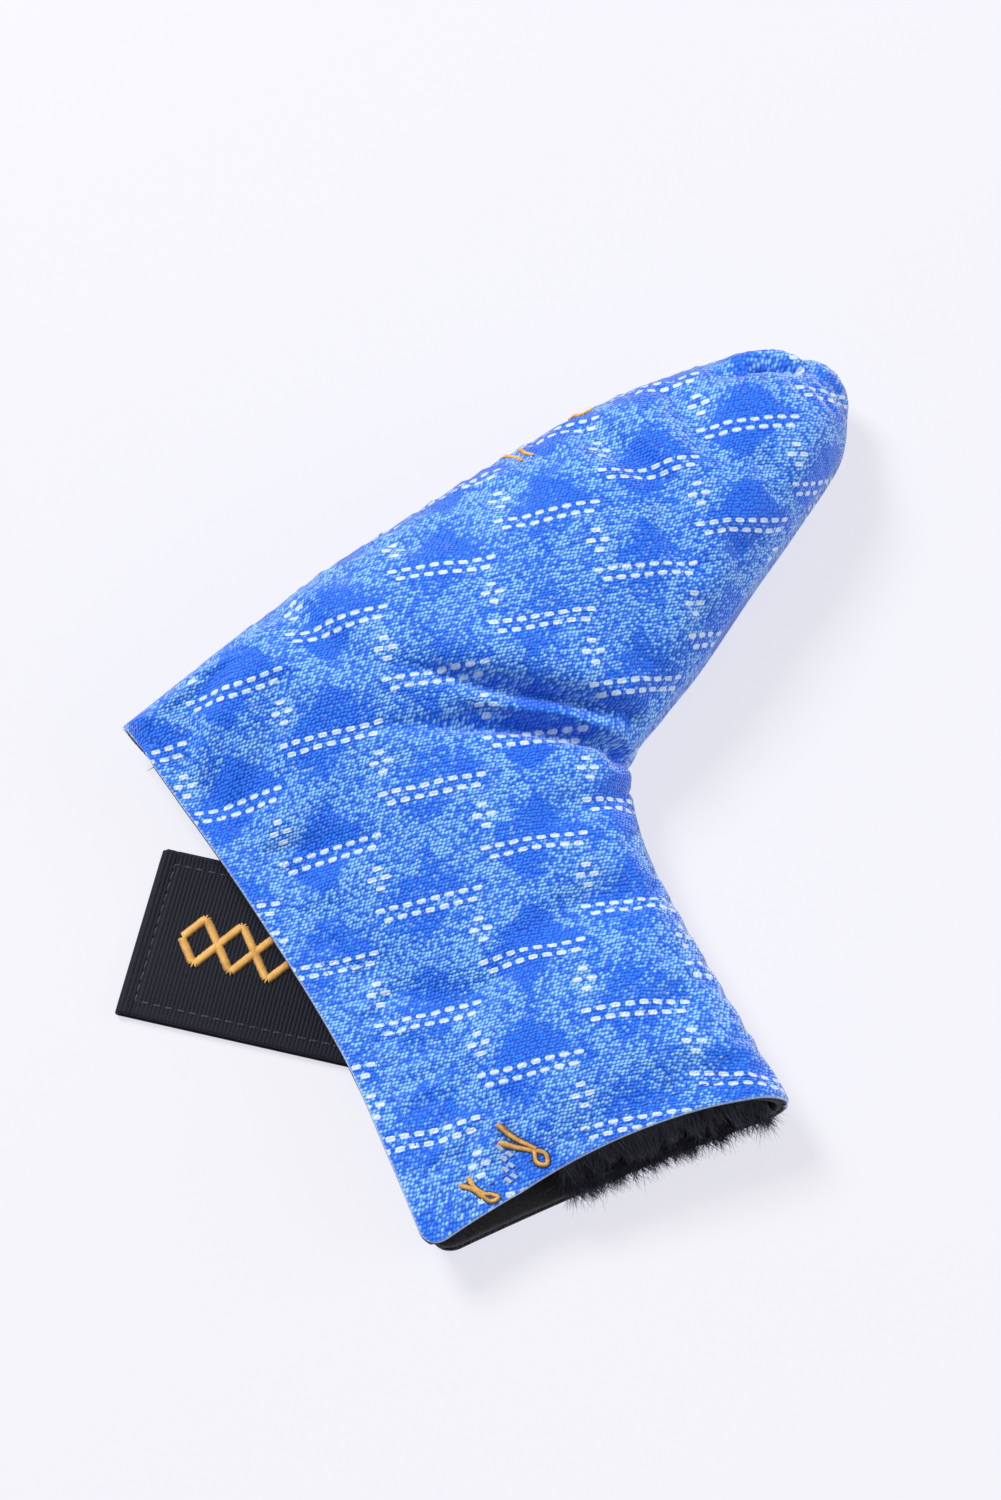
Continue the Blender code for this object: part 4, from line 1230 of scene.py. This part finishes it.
def tab_top(along, across):
    """Height of the top ply's middle, pressed down along the stitches and puffed between them."""
    pressed = np.exp(-((border_distance(along, across) / 0.7) ** 2))
    sides = np.clip(1 - (across / BORDER_SIDE) ** 2, 0, 1)
    ends = smooth((BORDER_END - along) / 12) * smooth((along + 2) / 14)
    wave = 0.22 * np.sin(along * 0.21 + across * 0.09) * ends
    raised = 1.52 + 0.45 * sides * ends + wave * sides - 0.24 * pressed
    return raised + 0.85 * smooth(-along / 6)


def build_tab():
    """The doubled webbing tab and its sewn end, as one band that folds at its free end."""
    root, free_end = 0.5 - ANCHOR_LENGTH, TAB_LENGTH - 0.55
    out = np.arange(root, free_end, RIB_SPACING / 4)
    path = [(t, 1.4) for t in np.linspace(-3, root, 40)]
    turns = np.linspace(0, math.pi, 9)[1:-1]
    path += [(root - 0.42 * math.sin(turn), 0.98 + 0.42 * math.cos(turn)) for turn in turns]
    path += [(t, BOTTOM_PLY) for t in out]
    turns = np.linspace(0, math.pi, 11)[1:-1]
    path += [(free_end + 0.5 * math.sin(turn), 1.04 - 0.5 * math.cos(turn)) for turn in turns]
    on_top = (np.arange(len(path) + len(out)) >= len(path))[:, None]
    path += [(t, 0) for t in out[::-1]]
    side = PLY_THICK / 2 * (1 - np.cos(np.linspace(0, math.pi / 2, 5)))
    inner = np.linspace(-TAB_WIDTH / 2 + 1.2, TAB_WIDTH / 2 - 1.2, 24)
    across = np.concatenate([side - TAB_WIDTH / 2, inner, TAB_WIDTH / 2 - side[::-1]])
    along, height = np.array(path).T[..., None] + 0 * across
    height = np.where(on_top, tab_top(along, across), height)
    shift = np.where(on_top, 0, 0.35) * smooth((along + 2) / 10)
    points = tab_point(along, across + shift, height)
    run = run_along(points)
    index = np.arange(along.size).reshape(along.shape)
    normals = normals_of(points.reshape(-1, 3), quads(index)).reshape(points.shape)
    from_side = TAB_WIDTH / 2 - np.abs(across)
    ribs = RIB_DEPTH * np.cos(run * (2 * math.pi / RIB_SPACING))
    ribs *= 0.55 + 0.45 * smooth((from_side - 0.4) / SELVEDGE)
    rim = np.clip(from_side / (PLY_THICK / 2), 0, 1)
    swell = PLY_THICK / 2 * np.sqrt(1 - (1 - rim) ** 2) + ribs * np.sqrt(rim)
    sealed = np.ones(along.shape, bool)
    sealed[1:-1, 1:-1] = False
    offsets = normals * np.where(sealed, 0, swell)[..., None]
    piece, used = two_skins("pull_tab_band", points, offsets, index, sealed, webbing_material())
    layer = piece.data.uv_layers.new(name="weave")
    flat = np.stack([run.ravel(), np.broadcast_to(across, run.shape).ravel()], axis=1)
    corners = np.zeros(len(piece.data.loops), np.int32)
    piece.data.loops.foreach_get("vertex_index", corners)
    layer.data.foreach_set("uv", flat[used[corners] % along.size].astype(np.float32).ravel())
    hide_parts("pull_tab_webbing", "tab_anchor_end")
    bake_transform(piece, "cover", "pull_tab", *(tuple(in_frame(tab_point(t, 0, 1))) for t in (-2, 6)))


def tab_stitches():
    """Border stitches on both faces of the tab, and a box and cross on its sewn end."""
    material = thread_material("black_thread", (0.004, 0.004, 0.006), (0.05, 0.05, 0.06), 0.3, 0.4)
    border = [(7, -BORDER_SIDE), (BORDER_END, -BORDER_SIDE), (BORDER_END, BORDER_SIDE), (7, BORDER_SIDE)]
    along, across = evenly(straight(border), 400).T
    up = np.tile(UP, (len(along), 1))
    top = tab_point(along, across, tab_top(along, across) + PLY_THICK / 2 - 0.02)
    bottom = tab_point(along, across, BOTTOM_PLY - PLY_THICK / 2 + 0.12)
    rows = [stitch_row(top, up, 0.2, 2.6, 2.1), stitch_row(bottom, -up, 0.12, 2.6, 2.1)]
    fibres("tab_border_stitches", rows, material, "black_thread", "pull_tab", "tab_border_stitch")
    near, far, side = 2 - ANCHOR_LENGTH, -2.5, BORDER_SIDE
    box = [(near, -side), (far, -side), (far, side), (near, side), (near, -side), (far, side)]
    rows = []
    for corners in (box, [(far, -side), (near, side)]):
        line = tab_point(*evenly(straight(corners), 300).T, 0.26)
        rows.append(stitch_row(line, np.tile(-UP, (300, 1)), 0.15))
    fibres("tab_anchor_stitches", rows, material, "black_thread", "cover", "tab_anchor_stitch")


MOTIF_FROM_END, MOTIF_PITCH, MOTIF_HALF = 21.0, 8.0, 5.4


def build_tab_motif(random, gold):
    """Three linked diamonds in satin stitch, from two lines that zigzag against each other."""
    corners = np.arange(7)
    places = np.linspace(0, 6, 240)
    along = TAB_LENGTH - MOTIF_FROM_END + (places - 3) * MOTIF_PITCH / 2
    zigzag = softened(np.interp(places, corners, MOTIF_HALF * np.sin(corners * math.pi / 2)), 5)
    parts = []
    for across in (zigzag, -zigzag):
        points = tab_point(along, across, tab_top(along, across) + PLY_THICK / 2)
        parts.append(satin(points, np.tile(UP, (len(points), 1)), 1.9, random))
    fibres("tab_diamonds", parts, gold, "gold_thread", "pull_tab", "tab_motif")


# ---------------------------------------------------------------- embroidered marks

# Marks on the hem and the sole, as (name, CAD node, body, lines): each line is (points, end widths).
MARKS = [
    ("hem_mark_mouth", "hem_motif_mouth", "bend", [
        ([(12.4, -120.6), (13.6, -124.8), (15.6, -129.2)], (1.3, 0.8)),
        ([(10.6, -123.6), (12.8, -126.4), (15.2, -129.6)], (1.3, 0.8)),
        ([(15.2, -129.2), (16.6, -131.2), (15.6, -133.2), (14.2, -131.6), (15.2, -129.4)], (0.9, 0.9)),
    ]),
    ("hem_mark_heel", "hem_motif_heel", "bend", [
        ([(-0.8, -126.0), (0.8, -128.4), (1.4, -130.8)], (1.2, 0.8)),
        ([(1.6, -125.6), (1.2, -128.2), (2.4, -130.8)], (1.2, 0.8)),
        ([(1.6, -130.2), (3.2, -131.2), (4.0, -132.6), (2.2, -132.4), (1.4, -130.4)], (0.8, 0.8)),
    ]),
    ("sole_mark_heel", "sole_motif_heel", "cover", [
        ([(101.2, 0.4), (102.0, -2.4), (101.8, -5.2)], (1.0, 0.8)),
        ([(104.2, -1.2), (104.0, -3.4), (104.6, -5.6)], (1.0, 0.8)),
    ]),
    ("sole_mark_toe", "sole_motif_toe", "cover", [
        ([(119.4, 0.8), (121.2, -1.6), (123.8, -0.8)], (1.4, 1.0)),
    ]),
]
HEM_DOTS = [(9.8, -124.2), (9.2, -126.4), (8.2, -128.4), (7.4, -130.6)]
DOT_LINE = np.array([(0, 0.3), (0.3, -0.3), (0.5, -0.9)])


def build_marks(cover, random, gold):
    """The gold marks, with dark stitches round those on the hem and pale stitches beside them."""
    around = []
    for name, node, body, lines in MARKS:
        parts = []
        for points, widths in lines:
            line, normals = cover.drop(evenly(spline(points, 12), 40))
            width = np.linspace(*widths, len(line))
            parts.append(satin(line, normals, width, random, 0.32, 0.17, 0.42))
            sideways = unit(np.cross(normals, unit(np.gradient(line, axis=0)))) * (width[:, None] / 2 + 0.12)
            if body == "bend":
                for edge in (line + sideways, line - sideways):
                    around.append(stitch_row(edge + normals * 0.06, normals, 0.13, 0.95, 0.9))
        fibres(name, parts, gold, "gold_thread", body, node)
    outline = thread_material("mark_outline", (0.002, 0.012, 0.02), (0.006, 0.035, 0.045))
    fibres("hem_mark_outlines", around, outline, "black_thread", "bend")
    dots = []
    for x, y in HEM_DOTS:
        for shift in (0, 1.5):
            line, normals = cover.drop(np.array([x + shift, y]) + DOT_LINE)
            dots.append(satin(line, normals, 0.9, random, 0.3, 0.17, 0.34))
    pale = thread_material("mark_dots", (0.5, 0.66, 0.9), (0.72, 0.84, 0.97))
    fibres("hem_dots", dots, pale, "blue_thread", "bend")


# ---------------------------------------------------------------- stage


CAMERA_TARGET = np.array([65.0, -48.3, 0])
CAMERA_PLACE = np.array([-116.9, -301.6, 700.5])
LENS_MM = 85
FLOOR_HALF, FLOOR_HEIGHT = 9.0, -0.0002
LAMPS = (  # name, place, width and power
    ("key", (-0.35, 1.9, 1.9), 0.9, 86.0),
    ("overhead", (0.1, -0.1, 2.6), 2.6, 5.0),
    ("fill", (1.5, -1.1, 0.6), 1.4, 20.0),
)


def aimed(name, data, place, target=(0, 0, 0)):
    """A camera or lamp at a place, turned towards a target."""
    made = add_object(name, data)
    made.location = place
    made.rotation_euler = (Vector(target) - Vector(place)).to_track_quat("-Z", "Y").to_euler()
    return made


def build_stage():
    camera = bpy.data.cameras.new("camera")
    camera.lens = LENS_MM
    camera.sensor_width = 36
    camera.clip_start, camera.clip_end = 0.05, 20
    bpy.context.scene.camera = aimed("camera", camera, in_frame(CAMERA_PLACE), in_frame(CAMERA_TARGET))

    mesh = bpy.data.meshes.new("floor")
    corners = ((-1, -1), (1, -1), (1, 1), (-1, 1))
    mesh.from_pydata([(x * FLOOR_HALF, y * FLOOR_HALF, FLOOR_HEIGHT) for x, y in corners], [], [(0, 1, 2, 3)])
    mesh.materials.append(floor_material())
    add_object("floor", mesh)

    world = bpy.data.worlds.new("studio")
    bpy.context.scene.world = world
    world.use_nodes = True
    background = world.node_tree.nodes["Background"]
    background.inputs["Color"].default_value = (0.93, 0.94, 1, 1)
    background.inputs["Strength"].default_value = 0.30
    for name, place, width, power in LAMPS:
        lamp = bpy.data.lights.new(name, "AREA")
        lamp.size, lamp.energy = width, power
        aimed(name, lamp, place)
    bpy.context.scene.view_settings.view_transform = "Standard"


def main():
    cover = Cover()
    build_canvas(cover)
    build_backing(cover)
    random = np.random.default_rng(11)
    build_strip(cover, "hook", "bend", (0.006, 0.006, 0.008), (0.034, 0.034, 0.04), 1.1, 0.35)
    build_strip(cover, "loop", "cover", (0.005, 0.005, 0.007), (0.03, 0.03, 0.036), 1.8, 0.5)
    build_hooks(cover, random, "hook", "bend", (22, 13), scatter=0.05, slide=0.7, radius=0.11)
    build_hooks(cover, random, "loop", "cover", (40, 24), scatter=0.35, slide=0.9, radius=0.07)
    build_edge_stitches(cover)
    build_seam_allowance(cover)
    gold = gold_material()
    build_marks(cover, random, gold)
    build_tab()
    tab_stitches()
    build_tab_motif(random, gold)
    build_pile(cover)
    build_stage()


main()
